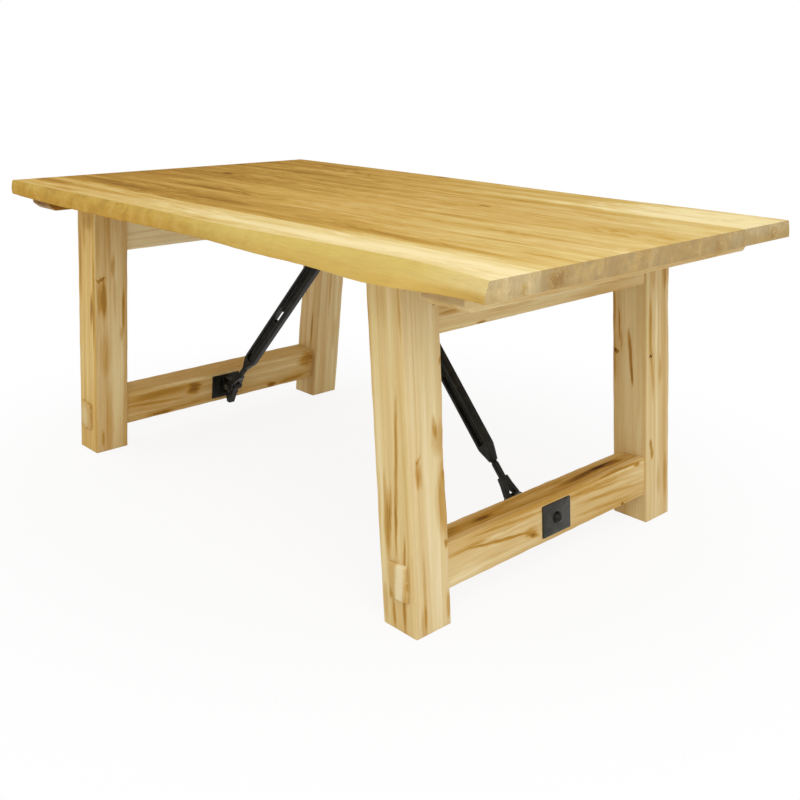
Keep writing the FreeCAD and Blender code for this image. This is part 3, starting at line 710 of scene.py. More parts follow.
def forged(node, place, voxel, keep=0.35, passes=4, cutters=()):
    """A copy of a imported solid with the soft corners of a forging, worked in its own drawing place."""
    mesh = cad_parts[node].data.copy()
    mesh.transform(place.inverted())
    cleaned(mesh, turn_out=False)
    if cutters:
        mesh = carved(mesh, cutters)
    holder = shown("scratch", mesh)
    remesh = holder.modifiers.new("remesh", "REMESH")
    remesh.mode = "VOXEL"
    remesh.voxel_size = voxel
    soften = holder.modifiers.new("soften", "SMOOTH")
    soften.factor = 0.5
    soften.iterations = passes
    thin = holder.modifiers.new("thin", "DECIMATE")
    thin.ratio = keep
    result = baked(holder)
    result.transform(place)
    return smooth_mesh(result, 60)


def put(name, mesh, material, node, body="table"):
    """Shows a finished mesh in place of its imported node, riding on its body."""
    mesh.name = name
    mesh.materials.clear()
    mesh.materials.append(material)
    made = shown(name, mesh)
    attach(made, body)
    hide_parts(node)


def put_at(end, kind, mesh, material, node=None, body="table"):
    """Shows a mesh that stands at one end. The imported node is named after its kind, with the end last."""
    put("%s_%s" % (end, kind), mesh, material, "%s_%s" % (node or kind, end), body)


# Places
def leaning(inset, height):
    """(x, z) at the right end of a point drawn on the upright trestle: inset from its outer face, height."""
    x = FOOT - inset * math.cos(LEAN) - height * math.sin(LEAN)
    z = height * math.cos(LEAN) - inset * math.sin(LEAN)
    return x, z


def trestle_place(end, inset=0.0, height=0.0):
    """The trestle's drawing place at one end: x outwards square to it, z up along it."""
    x, z = leaning(inset, height)
    right = Matrix.Translation((x, 0, z)) @ Matrix.Rotation(-LEAN, 4, "Y")
    return right if end > 0 else Matrix.Rotation(math.pi, 4, "Z") @ right


def pin_place(node):
    """The middle of a pin, seen from the side."""
    low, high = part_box(node)
    return Vector(((low.x + high.x) / 2, 0, (low.z + high.z) / 2))


def brace_place(side, level="lower"):
    """A brace's drawing place: zero at a pin, x along the brace towards the other pin."""
    start = pin_place("lower_clevis_pin_" + side)
    end = pin_place("upper_clevis_pin_" + side)
    if level == "upper":
        start, end = end, start
    along = (end - start).normalized()
    across = ACROSS * (1 if (along.x < 0) == (level == "lower") else -1)
    turn = Matrix((along, across, along.cross(across))).transposed().to_4x4()
    return Matrix.Translation(start) @ turn


def islands(node):
    """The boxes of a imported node's separate solids."""
    work = bmesh.new()
    work.from_mesh(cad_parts[node].data)
    bmesh.ops.remove_doubles(work, verts=work.verts, dist=DOUBLES)
    left = set(work.verts)
    boxes = []
    while left:
        group = [left.pop()]
        for vert in group:
            for edge in vert.link_edges:
                other = edge.other_vert(vert)
                if other in left:
                    left.remove(other)
                    group.append(other)
        places = np.array([v.co for v in group])
        boxes.append((places.min(0), places.max(0)))
    work.free()
    return sorted(boxes, key=lambda pair: tuple(np.round(pair[0], 4)))


def screw_heads(boxes):
    """The middle of each box's lowest face."""
    return [((low[0] + high[0]) / 2, (low[1] + high[1]) / 2, low[2]) for low, high in boxes]


# Planks
def edge_of(node, side, level, stations):
    """How far out a live edge of a packed plank stands at each station, at one level."""
    places = np.array([v.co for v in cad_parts[node].data.vertices])
    kept = places[(abs(places[:, 2] - level) < 1e-4) & (places[:, 1] * side > LIVE_FROM)]
    kept = kept[np.argsort(kept[:, 0])]
    return np.interp(stations, kept[:, 0], kept[:, 1])


def rim_stations(length, ease, count):
    """Stations along a length, with a quarter round at each end: (place, inset)."""
    turn = np.radians((90, 60, 30, 0))
    run = ease * (1 - np.sin(turn))
    inset = ease * (1 - np.cos(turn))
    middle = np.linspace(-length + ease, length - ease, count)[1:-1]
    places = np.concatenate((-length + run, middle, (length - run)[::-1]))
    insets = np.concatenate((inset, np.zeros(len(middle)), inset[::-1]))
    return places, insets


def seam_profile(y, side, stations, settings):
    """A seam side of a plank from underside to top: straight, its arrises just eased."""
    ease = settings.seam_ease
    points = [(y - side * ease, UNDERSIDE), (y, UNDERSIDE + ease),
              (y, TOP_HIGH - ease), (y - side * ease, TOP_HIGH)]
    return np.repeat(np.array(points)[None], len(stations), 0), np.zeros(len(points))


def live_profile(node, side, stations, seed, settings):
    """A live edge from underside to top, with belly, waver and eased arrises, and how live each row is."""
    low = edge_of(node, side, UNDERSIDE, stations)
    high = edge_of(node, side, TOP_HIGH, stations)
    ends = np.clip((HALF_LENGTH - abs(stations)) / LIVE_FADE, 0, 1)
    size = settings.live_waver
    low = low + side * ends * wander(stations, seed, (0.31, 0.13, 0.071, 0.043), size * 1.3)
    high = high + side * ends * wander(stations, seed + 1, (0.27, 0.11, 0.057, 0.036), size)
    columns = []
    for share, round_in in LIVE_ROWS:
        line = low + (high - low) * share
        swell = 1 + wander(stations, seed + 2, (0.5, 0.21), 0.8)
        belly = settings.belly * math.sin(math.pi * share) * swell
        flute = wander(stations + share * 0.03, seed + 3 + int(share * 6), (0.09, 0.05, 0.033), size * 0.55)
        ridge = sum(rise * MM * bump(stations + share * 0.006, x * MM, RIDGE_HALF) for x, rise in RIDGES)
        out = belly + (flute + ridge) * math.sin(math.pi * share) ** 0.5 * ends - settings.top_ease * round_in
        y = line + side * out
        columns.append(np.stack((y, np.full_like(y, UNDERSIDE + share * (TOP_HIGH - UNDERSIDE))), 1))
    rim = columns[-1][:, 0]
    for step, _ in LIVE_ON_TOP:
        columns.append(np.stack((rim - side * step, np.full_like(rim, TOP_HIGH)), 1))
    return np.stack(columns, 1), np.array([1.0] * len(LIVE_ROWS) + [share for _, share in LIVE_ON_TOP])


def plank(number, settings):
    """One plank of the top: live edge or seams at its sides, eased round the rim."""
    node = "top_board_%d" % number
    live = number in (1, BOARDS)
    count = LIVE_STATIONS if live else SEAM_STATIONS
    stations, insets = rim_stations(HALF_LENGTH, settings.top_ease, count)
    sides = []
    for side, outermost, seed, seam in ((-1, 1, 11, number - 2), (1, BOARDS, 29, number - 1)):
        if number == outermost:
            profile, edge = live_profile(node, side, stations, seed, settings)
            profile[:, :len(LIVE_ROWS), 0] -= side * insets[:, None]
        else:
            profile, edge = seam_profile(SEAMS[seam], side, stations, settings)
        sides.append((profile, edge))
    (near, near_edge), (far, far_edge) = sides
    ring = np.concatenate((near, far[:, ::-1]), 1)
    edge = np.concatenate((near_edge, far_edge[::-1]))
    ring[:, :, 1] = np.clip(ring[:, :, 1], UNDERSIDE + insets[:, None], TOP_HIGH - insets[:, None])
    rings = np.concatenate((np.repeat(stations[:, None, None], ring.shape[1], 1), ring), 2)
    mesh = loft(rings)
    if live:
        attribute = mesh.attributes.new(LIVE_EDGE, "FLOAT", "POINT")
        places = rings.reshape(-1, 3)
        tree = KDTree(len(places))
        for index, spot in enumerate(places):
            tree.insert(spot, index)
        tree.balance()
        attribute.data.foreach_set("value", [edge[tree.find(v.co)[1] % len(edge)] for v in mesh.vertices])
    return smooth_mesh(mesh)


def lengths(millimetres):
    """Lengths given in millimetres."""
    return tuple(size * MM for size in millimetres)


def plank_mark(face, first, second, half, half_wide, amount):
    """A mark on the top at (x, y) or on its right end at (y, z), with its half sizes, all in millimetres."""
    if face == "top":
        return (first * MM, second * MM, TOP_HIGH), lengths((half, half_wide, 30)), amount
    return (HALF_LENGTH, first * MM, second * MM), lengths((8, half, half_wide)), amount


# Each plank: base tone, streaks, rings, drift, seed, heart of the tree across and below, its tilt, ring width
# in millimetres, and marks in millimetres: face, place, half sizes, amount
# Each plank's drift of about -0.2 pales it towards the right end: partly the timber's own colour, partly
# painted light, as the light is brighter at the right
PLANKS = {
    1: (0.21, 0.36, 0.08, -0.20, 1.1, (-0.30, -0.20), (0.02, 0.05), 5.5, [
        ("top", -840, -450, 150, 40, 0.20), ("top", -560, -440, 280, 22, 0.14),
        ("top", 300, -470, 640, 45, -0.08), ("top", -330, -415, 110, 16, 0.14),
        ("top", -640, -500, 120, 18, 0.12), ("top", -100, -392, 260, 9, 0.12),
        ("top", 420, -392, 260, 8, 0.10), ("end", -437, 758, 14, 22, 0.30)]),
    2: (0.47, 0.36, 0.12, -0.17, 2.3, (-0.33, -0.11), (0.03, 0.03), 5.0, [
        ("top", -235, -300, 260, 24, 0.15), ("top", -640, -325, 300, 34, 0.12),
        ("top", 520, -345, 420, 26, 0.12), ("top", 60, -335, 500, 40, 0.07),
        ("top", -500, -380, 330, 16, -0.10), ("top", 620, -380, 360, 10, -0.12),
        ("top", 500, -240, 300, 34, -0.05), ("end", -345, 765, 42, 26, 0.34)]),
    3: (0.45, 0.36, 0.14, -0.20, 3.7, (-0.10, -0.16), (-0.02, 0.045), 6.0, [
        ("top", -436, -190, 170, 22, 0.12), ("top", 417, -36, 230, 22, 0.14),
        ("top", 720, -120, 240, 14, 0.10), ("top", 660, -75, 190, 12, 0.10), ("end", -14, 765, 5, 16, 0.30)]),
    4: (0.45, 0.36, 0.12, -0.19, 4.9, (0.05, -0.13), (0.02, -0.04), 5.5, [
        ("top", -692, 75, 34, 13, 0.36), ("top", -640, 95, 120, 30, 0.06),
        ("top", -560, 112, 120, 26, -0.10), ("top", 520, 8, 240, 16, 0.10)]),
    5: (0.45, 0.35, 0.12, -0.19, 6.1, (0.25, -0.15), (-0.03, 0.03), 6.0, [
        ("top", 314, 147, 26, 11, 0.30), ("top", -548, 285, 260, 34, 0.10),
        ("top", 300, 160, 120, 22, 0.06), ("top", 830, 250, 170, 60, -0.10),
        ("end", 212, 765, 26, 26, 0.22), ("end", 292, 765, 38, 26, -0.22)]),
    6: (0.42, 0.34, 0.12, -0.20, 7.4, (0.42, -0.20), (0.02, 0.05), 6.0, [
        ("top", 800, 400, 430, 170, -0.31), ("top", 300, 350, 420, 46, -0.08),
        ("top", -530, 350, 230, 40, -0.12), ("top", -196, 534, 40, 14, 0.30),
        ("top", 470, 540, 40, 14, 0.28), ("end", 456, 765, 19, 24, 0.40)]),
}


# Legs
def leg_mesh(end, side, seed, bites, settings):
    """A leaning post: level rings from the floor to the top, wavering a little, with its mortises cut."""
    levels, insets = rim_stations(UNDERSIDE / 2, settings.foot_ease, LEG_RINGS)
    levels = levels + UNDERSIDE / 2
    ease = settings.arris * (1 + wander(levels, seed, (0.4, 0.17, 0.09), 0.35))
    rings = []
    for i, level in enumerate(levels):
        outer = FOOT - level * math.tan(LEAN)
        inner = outer - LEG_DEPTH / math.cos(LEAN)
        inset = insets[i] if level < UNDERSIDE / 2 else 0.0
        ring = eased(inner + inset, outer - inset, LEG_INNER + inset, LEG_OUTER - inset,
                     max(ease[i], LEAST_EASE))
        middle = np.array(((inner + outer) / 2, (LEG_INNER + LEG_OUTER) / 2))
        half = np.array(((outer - inner) / 2, (LEG_OUTER - LEG_INNER) / 2))
        share = (ring - middle) / half
        face = wander(np.full(len(ring), level) + share[:, 0] * 0.05 + share[:, 1] * 0.09, seed + 4,
                      (0.33, 0.14, 0.08), settings.waver)
        ring = ring + share * face[:, None]
        for corner, at, length, deep, wide in bites:
            away = np.linalg.norm(ring - (middle + half * corner), axis=1)
            ragged = 1 + wander(np.array([level]), seed + 7, (0.05, 0.023, 0.012), 0.5)[0]
            push = deep * bump(level, at, length) * ragged * np.exp(-((away / wide) ** 2))
            ring = ring - push[:, None] * np.array(corner) / math.sqrt(2)
        rings.append(np.column_stack((ring[:, 0] * end, ring[:, 1] * side, np.full(len(ring), level))))
    across = (-TENON_INSET - TENON_THICKNESS - MORTISE_GAP, -TENON_INSET + MORTISE_GAP)
    mortises = []
    for reach, low, high in ((LEG_OUTER + CUT_PAST, TENON_LOW, TENON_LOW + TENON_DEPTH),
                             (LEG_INNER + RAIL_TENON_LENGTH + MORTISE_GAP, RAIL_TENON_LOW, RAIL_TENON_HIGH)):
        along = (side * end * (LEG_INNER - CUT_PAST), side * end * reach)
        mortises.append(block(across, along, (low - MORTISE_GAP, high + MORTISE_GAP), trestle_place(end)))
    return smooth_mesh(carved(loft(rings), mortises))


def leg_mark(end, side, face, share, level, high, wide, amount, slant=None):
    """A mark on a leg: its face, share across that face, then height and half sizes in millimetres.

    The slant is across the face per length up the leg.
    """
    outer = FOOT - level * MM * math.tan(LEAN)
    x0, x1 = sorted((end * (outer - LEG_DEPTH), end * outer))
    y0, y1 = sorted((side * LEG_INNER, side * LEG_OUTER))
    if face in CROSSWAYS:
        spot = (x0 + share * (x1 - x0), y0 if face == "near" else y1, level * MM)
        half = lengths((high, LEG_MARK_DEPTH, wide))
        return spot, half, amount, *(() if slant is None else (0.0, -slant))
    spot = (x1 if face == "right" else x0, y0 + share * (y1 - y0), level * MM)
    half = lengths((high, wide, LEG_MARK_DEPTH))
    return spot, half, amount, *(() if slant is None else (slant, 0.0))


# Each leg: base tone, streaks, rings, seed, bites out of its corners, and marks by face.
# A bite: corner, place and half length up the leg, depth, width. A mark: as in leg_mark, from its share on
# The near-left leg's higher tone than the near-right's is partly painted shade: the light falls off towards
# the left
LEGS = {
    ("right", "near"): (0.25, 0.24, 0.05, 11.3, [
        ((1, -1), 0.36, 0.13, 2.5 * MM, 0.012), ((1, 1), 0.29, 0.12, 1.5 * MM, 0.010)], {
        "near": [
            (0.60, 330, 210, 7, 0.36, 0.065), (0.68, 455, 70, 5, 0.10, 0.065),
            (0.53, 225, 70, 6, 0.10, 0.065), (0.28, 225, 96, 14, 0.36, 0.04),
            (0.25, 310, 50, 5, 0.20, 0.05), (0.40, 265, 70, 5, 0.20, 0.05), (0.74, 150, 85, 6, 0.32, 0.05),
            (0.84, 124, 62, 4, 0.12), (0.67, 50, 80, 7, 0.34), (0.35, 35, 50, 7, 0.34),
            (0.12, 45, 60, 10, 0.20), (0.07, 250, 110, 5, 0.14, 0.05), (0.93, 680, 80, 5, 0.24),
            (0.02, 640, 80, 5, 0.24), (0.40, 680, 60, 24, 0.07), (0.05, 560, 240, 9, 0.06)],
        "right": [
            (0.24, 343, 48, 12, 0.28, -0.08), (0.26, 374, 6, 11, 0.22), (0.74, 428, 32, 8, 0.26, -0.1),
            (0.84, 405, 48, 27, 0.24), (0.92, 345, 40, 12, 0.14), (0.88, 270, 100, 25, 0.32),
            (0.93, 184, 12, 9, 0.32), (0.88, 685, 8, 18, 0.42), (0.95, 570, 16, 6, 0.32),
            (0.94, 45, 34, 10, 0.32), (0.28, 90, 110, 6, 0.22), (0.22, 25, 50, 13, 0.22),
            (0.45, 360, 300, 9, -0.10), (0.12, 500, 150, 8, -0.06)],
        "far": [
            (0.40, 480, 150, 7, 0.28, -0.05), (0.70, 220, 90, 9, 0.24)],
        "left": [
            (0.35, 380, 160, 6, 0.26), (0.70, 560, 80, 10, 0.22, 0.06), (0.60, 120, 60, 8, 0.26)]}),
    ("left", "near"): (0.42, 0.28, 0.06, 13.9, [
        ((1, -1), 0.30, 0.12, 2.0 * MM, 0.010)], {
        "near": [
            (0.77, 440, 66, 9, 0.44, 0.03), (0.90, 490, 180, 9, 0.16), (0.14, 590, 150, 10, 0.24),
            (0.60, 705, 40, 44, 0.18), (0.11, 105, 52, 10, 0.30), (0.45, 64, 4, 18, 0.26),
            (0.88, 400, 90, 4, 0.14), (0.40, 660, 60, 12, 0.14), (0.50, 350, 300, 40, -0.05)],
        "right": [
            (0.17, 531, 9, 22, 0.32), (0.26, 470, 76, 11, 0.34), (0.13, 478, 66, 10, 0.24),
            (0.55, 570, 46, 9, 0.30), (0.60, 480, 90, 9, 0.18), (0.86, 430, 90, 7, 0.32),
            (0.80, 360, 30, 6, 0.28), (0.30, 310, 90, 26, 0.14), (0.42, 95, 140, 14, 0.16),
            # The last mark lightens most of this face: painted light
            (0.20, 45, 40, 7, 0.22), (0.08, 640, 90, 9, 0.10), (0.62, 370, 420, 40, -0.18)],
        "far": [
            (0.60, 350, 130, 8, 0.26, 0.05), (0.25, 560, 60, 6, 0.24)],
        "left": [
            (0.45, 430, 180, 8, 0.30, -0.06), (0.75, 260, 70, 10, 0.24), (0.20, 120, 60, 7, 0.28)]}),
    ("right", "far"): (0.33, 0.28, 0.07, 17.2, [
        ((1, 1), 0.55, 0.10, 2.0 * MM, 0.010)], {
        "near": [
            (0.54, 425, 84, 6, 0.48, -0.05), (0.47, 465, 34, 5, 0.22), (0.58, 370, 40, 4, 0.34),
            (0.13, 431, 9, 9, 0.42), (0.20, 505, 60, 4, 0.28, -0.06), (0.27, 462, 44, 4, 0.22),
            # The last mark lightens most of the near face: painted light
            (0.04, 540, 80, 7, 0.32), (0.05, 420, 76, 7, 0.26), (0.45, 380, 380, 60, -0.07)],
        "right": [
            (0.17, 500, 110, 10, 0.24), (0.18, 431, 4, 10, 0.40), (0.26, 385, 80, 8, 0.26, -0.05),
            (0.44, 520, 110, 11, -0.16), (0.45, 300, 180, 8, -0.06), (0.60, 395, 50, 9, 0.18),
            (0.19, 208, 18, 8, 0.36), (0.25, 184, 22, 9, 0.36), (0.30, 640, 60, 14, 0.20),
            (0.80, 640, 60, 18, 0.22), (0.54, 95, 50, 11, 0.16), (0.84, 100, 90, 14, 0.16),
            # The last mark darkens most of the right face: painted shade
            (0.75, 380, 380, 26, 0.09)],
        "far": [
            (0.35, 300, 170, 8, 0.30, 0.06), (0.70, 520, 80, 10, 0.24), (0.15, 600, 50, 6, 0.30)],
        "left": [
            (0.50, 300, 150, 6, 0.24), (0.25, 520, 70, 8, 0.22)]}),
    ("left", "far"): (0.31, 0.26, 0.07, 19.6, [
        ((1, -1), 0.35, 0.10, 2.0 * MM, 0.010)], {
        "near": [
            (0.30, 420, 120, 6, 0.24), (0.70, 250, 90, 6, 0.26)],
        "right": [
            (0.45, 400, 120, 7, 0.24), (0.75, 220, 70, 9, 0.18)],
        "far": [
            (0.55, 430, 190, 8, 0.32, -0.06), (0.30, 250, 80, 11, 0.26), (0.80, 150, 60, 6, 0.28),
            (0.75, 620, 90, 6, 0.20)],
        "left": [
            (0.30, 450, 170, 8, 0.30, 0.05), (0.65, 250, 90, 10, 0.26), (0.80, 560, 60, 6, 0.22)]}),
}


# Stretchers, rails and battens: rings across the table
def crossbar(end, sections):
    """A bar across the table: sections of (y, ring of (inset, height)) in the leaning trestle."""
    rings = []
    for y, ring in sections:
        x, z = leaning(ring[:, 0], ring[:, 1])
        rings.append(np.column_stack((x * end, np.full(len(ring), y * end), z)))
    return loft(rings)


def wavered(ring, y, seed, size):
    """A ring pushed in and out a little round its middle."""
    middle = (ring.min(0) + ring.max(0)) / 2
    share = (ring - middle) / (ring.max(0) - middle)
    push = wander(y + share[:, 0] * 0.07 + share[:, 1] * 0.04, seed, (0.29, 0.13, 0.07), size)
    return ring + share * push[:, None]


def tenon_ring(low, high, inset):
    """A tenon's section, drawn in by an inset all round."""
    return eased(TENON_INSET + inset, TENON_INSET + TENON_THICKNESS - inset, low + inset, high - inset,
                 TENON_EASE)


def stretcher_mesh(end, seed, settings):
    """Lower stretcher with its proud, bevelled through tenons and the hole for the stud."""
    ys = np.linspace(-LEG_INNER, LEG_INNER, BAR_RINGS)
    ease = settings.arris * (1 + wander(ys, seed, (0.23, 0.1, 0.06), 0.4))
    flat = TENON_REACH - TENON_BEVEL
    tenon = [(y, tenon_ring(TENON_LOW, TENON_LOW + TENON_DEPTH, inset)) for y, inset in (
        (TENON_REACH, TENON_BEVEL), (TENON_REACH - 0.6 * MM, TENON_BEVEL - 0.9 * MM),
        (flat + 0.6 * MM, 0.3 * MM), (flat - 0.6 * MM, 0.0), (LEG_INNER, 0.0))]
    sections = [(-y, ring) for y, ring in tenon]
    for y, e in zip(ys, ease):
        ring = eased(STRETCHER_INSET, STRETCHER_INSET + STRETCHER_THICKNESS, STRETCHER_RISE,
                     STRETCHER_RISE + STRETCHER_DEPTH, max(e, LEAST_EASE))
        sections.append((y, wavered(ring, y, seed + 3, settings.waver)))
    bar = crossbar(end, sections + tenon[::-1])
    hole = lathe(((-0.15, STUD_HOLE), (0.05, STUD_HOLE)), trestle_place(end, 0.0, STRETCHER_MIDDLE), 32)
    return smooth_mesh(carved(bar, [hole]))


def rail_mesh(end, seed, settings):
    """Upper rail with blind tenons, cut level under the top, with recesses for its large screws."""
    bottom = SLOPE_HEIGHT - RAIL_DEPTH
    reach = LEG_INNER + RAIL_TENON_LENGTH
    sections = [(-reach, tenon_ring(RAIL_TENON_LOW, RAIL_TENON_HIGH, TENON_EASE)),
                (-reach + TENON_EASE, tenon_ring(RAIL_TENON_LOW, RAIL_TENON_HIGH, 0.0)),
                (-LEG_INNER, tenon_ring(RAIL_TENON_LOW, RAIL_TENON_HIGH, 0.0))]
    for y in np.linspace(-LEG_INNER, LEG_INNER, BAR_RINGS):
        ring = eased(STRETCHER_INSET, STRETCHER_INSET + STRETCHER_THICKNESS, bottom, SLOPE_HEIGHT + 0.02,
                     settings.arris)
        ring = wavered(ring, y, seed, settings.waver)
        level = (UNDERSIDE + ring[:, 0] * math.sin(LEAN)) / math.cos(LEAN)
        ring[:, 1] = np.minimum(ring[:, 1], level)
        sections.append((y, ring))
    sections += [(-y, ring) for y, ring in sections[2::-1]]
    recess = ((bottom - 0.02, LAG_RECESS), (SLOPE_HEIGHT - LAG_SEAT_DEPTH, LAG_RECESS))
    place = trestle_place(end, STRETCHER_INSET + STRETCHER_THICKNESS / 2, 0.0)
    cutters = []
    for _, y, _ in screw_heads(islands("rail_screws_" + END_NAMES[end])):
        cutters.append(lathe(recess, place @ Matrix.Translation((0, y * end, 0)) @ X_UPWARDS, 32))
    return smooth_mesh(carved(crossbar(end, sections), cutters))


def cleat_mesh(end, seed, settings):
    """End batten under the top, bevelled up at both ends, with countersinks for its screws."""
    low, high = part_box("end_cleat_" + END_NAMES[end])
    length = high.y - low.y
    steps = [0.0, CLEAT_RIM, CLEAT_BEVEL_RUN * 0.5, CLEAT_BEVEL_RUN]
    ys = steps + list(np.linspace(CLEAT_BEVEL_RUN, length - CLEAT_BEVEL_RUN, CLEAT_RINGS)[1:-1])
    ys += [length - s for s in steps[::-1]]
    rings = []
    for y in ys:
        out = min(y, length - y)
        rise = CLEAT_BEVEL_RISE * (1 - min(out / CLEAT_BEVEL_RUN, 1.0))
        rim = max(CLEAT_RIM - out, 0.0)
        ring = eased(low.x + rim, high.x - rim, low.z + rise + rim, high.z, settings.arris / 2)
        ring = wavered(ring, y, seed, settings.waver * 0.6)
        ring[:, 1] = np.minimum(ring[:, 1], high.z)
        rings.append(np.column_stack((ring[:, 0], np.full(len(ring), low.y + y), ring[:, 1])))
    boxes = islands("cleat_screws_" + END_NAMES[end])
    cutters = []
    for head, (head_low, head_high) in zip(screw_heads(boxes), boxes):
        radius = (head_high[0] - head_low[0]) / 2 + 0.3 * MM
        sink = ((-0.01, radius), (0.4 * MM, radius), (3 * MM, radius / 2), (0.06, radius / 2))
        cutters.append(lathe(sink, Matrix.Translation(head) @ X_UPWARDS, 28))
    return smooth_mesh(carved(loft(rings), cutters))


def bar_mark(end, spot, half, amount, *slants):
    """A mark on a stretcher or rail, in millimetres.

    The spot is its outer, inner or upper face or a tenon's end, the place across the table, the height and,
    on a tenon, the share across it.
    """
    face, y, height, share = (*spot, 0.5)[:4]
    insets = {"outer": STRETCHER_INSET, "inner": STRETCHER_INSET + STRETCHER_THICKNESS,
              "upper": STRETCHER_INSET + STRETCHER_THICKNESS / 2,
              "tenon": TENON_INSET + TENON_THICKNESS * (1 - share)}
    x, z = leaning(insets[face], height * MM)
    return (x * end, y * MM, z), lengths(half), amount, *slants


# Each stretcher and rail: base tone, streaks, rings, seed, and marks as in bar_mark
BARS = {
    "stretcher_right": (0.35, 0.44, 0.08, 23.1, [
        (("outer", -190, 128), (135, 9, 5), 0.34, 0.0, -0.13), (("outer", -90, 114), (34, 9, 16), 0.24),
        (("outer", -78, 104), (26, 9, 7), 0.32, 0.0, -0.2),
        (("outer", -190, 160), (150, 9, 5), 0.18, 0.0, -0.05), (("outer", -300, 95), (90, 9, 16), -0.10),
        (("outer", -150, 92), (110, 9, 8), -0.06), (("outer", 220, 143), (170, 9, 5), 0.16, 0.0, -0.06),
        (("outer", 210, 122), (190, 9, 8), 0.20, 0.0, -0.07),
        (("outer", 190, 96), (150, 9, 6), 0.16, 0.0, -0.05), (("outer", 330, 163), (16, 9, 6), 0.38),
        (("outer", 272, 78), (9, 9, 6), 0.38), (("outer", 270, 170), (120, 9, 4), 0.22),
        (("upper", 0, 175), (460, 70, 10), 0.23), (("upper", -330, 175), (60, 34, 7), 0.12),
        (("upper", -212, 175), (44, 12, 7), 0.24), (("upper", 160, 175), (120, 14, 7), 0.24, 0.06, 0.0),
        (("upper", 260, 175), (70, 16, 7), 0.24, -0.1, 0.0), (("upper", -30, 175), (200, 18, 7), -0.08),
        # On the tenon's end, the marks at heights 94 and 84 are painted shade along its lower bevel
        (("tenon", -474, 116, 0.22), (45, 15, 90), 0.08),
        (("tenon", -474, 116, 0.68), (45, 16, 150), -0.30),
        (("tenon", -474, 116, 1.05), (45, 10, 150), 0.20), (("tenon", -474, 94, 0.10), (45, 11, 13), 0.13),
        (("tenon", -474, 84, 0.28), (45, 11, 11), 0.13),
        (("inner", -180, 130), (160, 9, 8), 0.26, 0.0, -0.08), (("inner", 210, 110), (120, 9, 10), 0.24),
        (("inner", 60, 150), (90, 9, 5), 0.22)]),
    "stretcher_left": (0.43, 0.42, 0.08, 29.4, [
        (("inner", -230, 148), (170, 9, 20), 0.18), (("inner", -250, 120), (140, 9, 6), 0.18, 0.0, -0.06),
        (("inner", -115, 137), (30, 9, 24), 0.30), (("inner", 340, 148), (44, 9, 34), 0.32),
        (("inner", 190, 84), (24, 9, 12), 0.34), (("inner", 280, 88), (80, 9, 9), 0.16, 0.0, 0.1),
        (("inner", -240, 82), (60, 9, 7), 0.26), (("upper", 0, 175), (380, 40, 6), 0.10),
        (("inner", 200, 130), (160, 9, 50), -0.10), (("tenon", -474, 116, 0.5), (45, 24, 46), -0.18),
        (("outer", -150, 140), (170, 9, 8), 0.28, 0.0, 0.08), (("outer", 250, 110), (130, 9, 10), 0.26),
        (("outer", -280, 95), (16, 9, 9), 0.36)]),
    # The rails' low tones are painted light, paler to stand in for the light that reaches under the top; the
    # right rail's marks at -310 and -130 are painted shadow under the batten
    "top_rail_right": (0.19, 0.5, 0.08, 38.0, [
        (("outer", -310, 676), (75, 9, 14), 0.30), (("outer", -335, 656), (40, 9, 6), 0.28),
        (("outer", -240, 620), (16, 9, 6), 0.42), (("outer", -130, 640), (95, 9, 6), 0.20),
        (("outer", 250, 630), (210, 9, 26), 0.14), (("outer", 250, 640), (120, 9, 5), 0.16)]),
    "top_rail_left": (-0.03, 0.5, 0.08, 36.0, []),
}


class TABLE_OT_planks(bpy.types.Operator):
    """Make the six planks of the top, the outer two with live edges"""

    bl_idname = "table.planks"
    bl_label = "Planks"
    bl_options = {"REGISTER", "UNDO"}

    def execute(self, context):
        """One piece for each plank."""
        timber = context.scene.table_timber
        for number, (tone, streaks, rings, drift, seed, heart, tilt, ring, marks) in PLANKS.items():
            grain = Grain((0, 0, TOP_HIGH), (0, 0, 0), heart, tilt, ring * MM)
            material = timber_material("plank_%d_timber" % number, grain, seed, tone,
                                       [plank_mark(*mark) for mark in marks], timber, streaks, rings,
                                       number in (1, BOARDS), drift, run=0.5, sway_by=0.08)
            put("plank_%d" % number, plank(number, timber), material, "top_board_%d" % number)
        return {"FINISHED"}


class TABLE_OT_legs(bpy.types.Operator):
    """Make the four leaning legs with their mortises"""

    bl_idname = "table.legs"
    bl_label = "Legs"
    bl_options = {"REGISTER", "UNDO"}

    def execute(self, context):
        """One piece for each leg."""
        timber = context.scene.table_timber
        for (end, side), (tone, streaks, rings, seed, bites, faces) in LEGS.items():
            e, s = ENDS[end], SIDES[side]
            grain = Grain((e * FOOT, s * (LEG_INNER + LEG_OUTER) / 2, 0), (0, -math.pi / 2 - e * LEAN, 0),
                          (0.07 * s, 0.09 + 0.02 * e), (0.012, -0.02), 9 * MM)
            marks = [leg_mark(e, s, face, *mark) for face, found in faces.items() for mark in found]
            material = timber_material("%s_%s_leg_timber" % (end, side), grain, seed, tone, marks, timber,
                                       streaks, rings, spread=1.7, bleach=timber.bleach * 1.15,
                                       near_face_light_tint=NEAR_FACE_LIGHT_TINT.get((end, side), 0.9), gloss=0.1, run=2.2,
                                       sway_by=0.02, strips=0.11, ragged_by=0.5)
            mesh = leg_mesh(e, s, int(seed), bites, timber)
            put("%s_%s_leg" % (end, side), mesh, material, "leg_%s_%s" % (end, side))
        return {"FINISHED"}


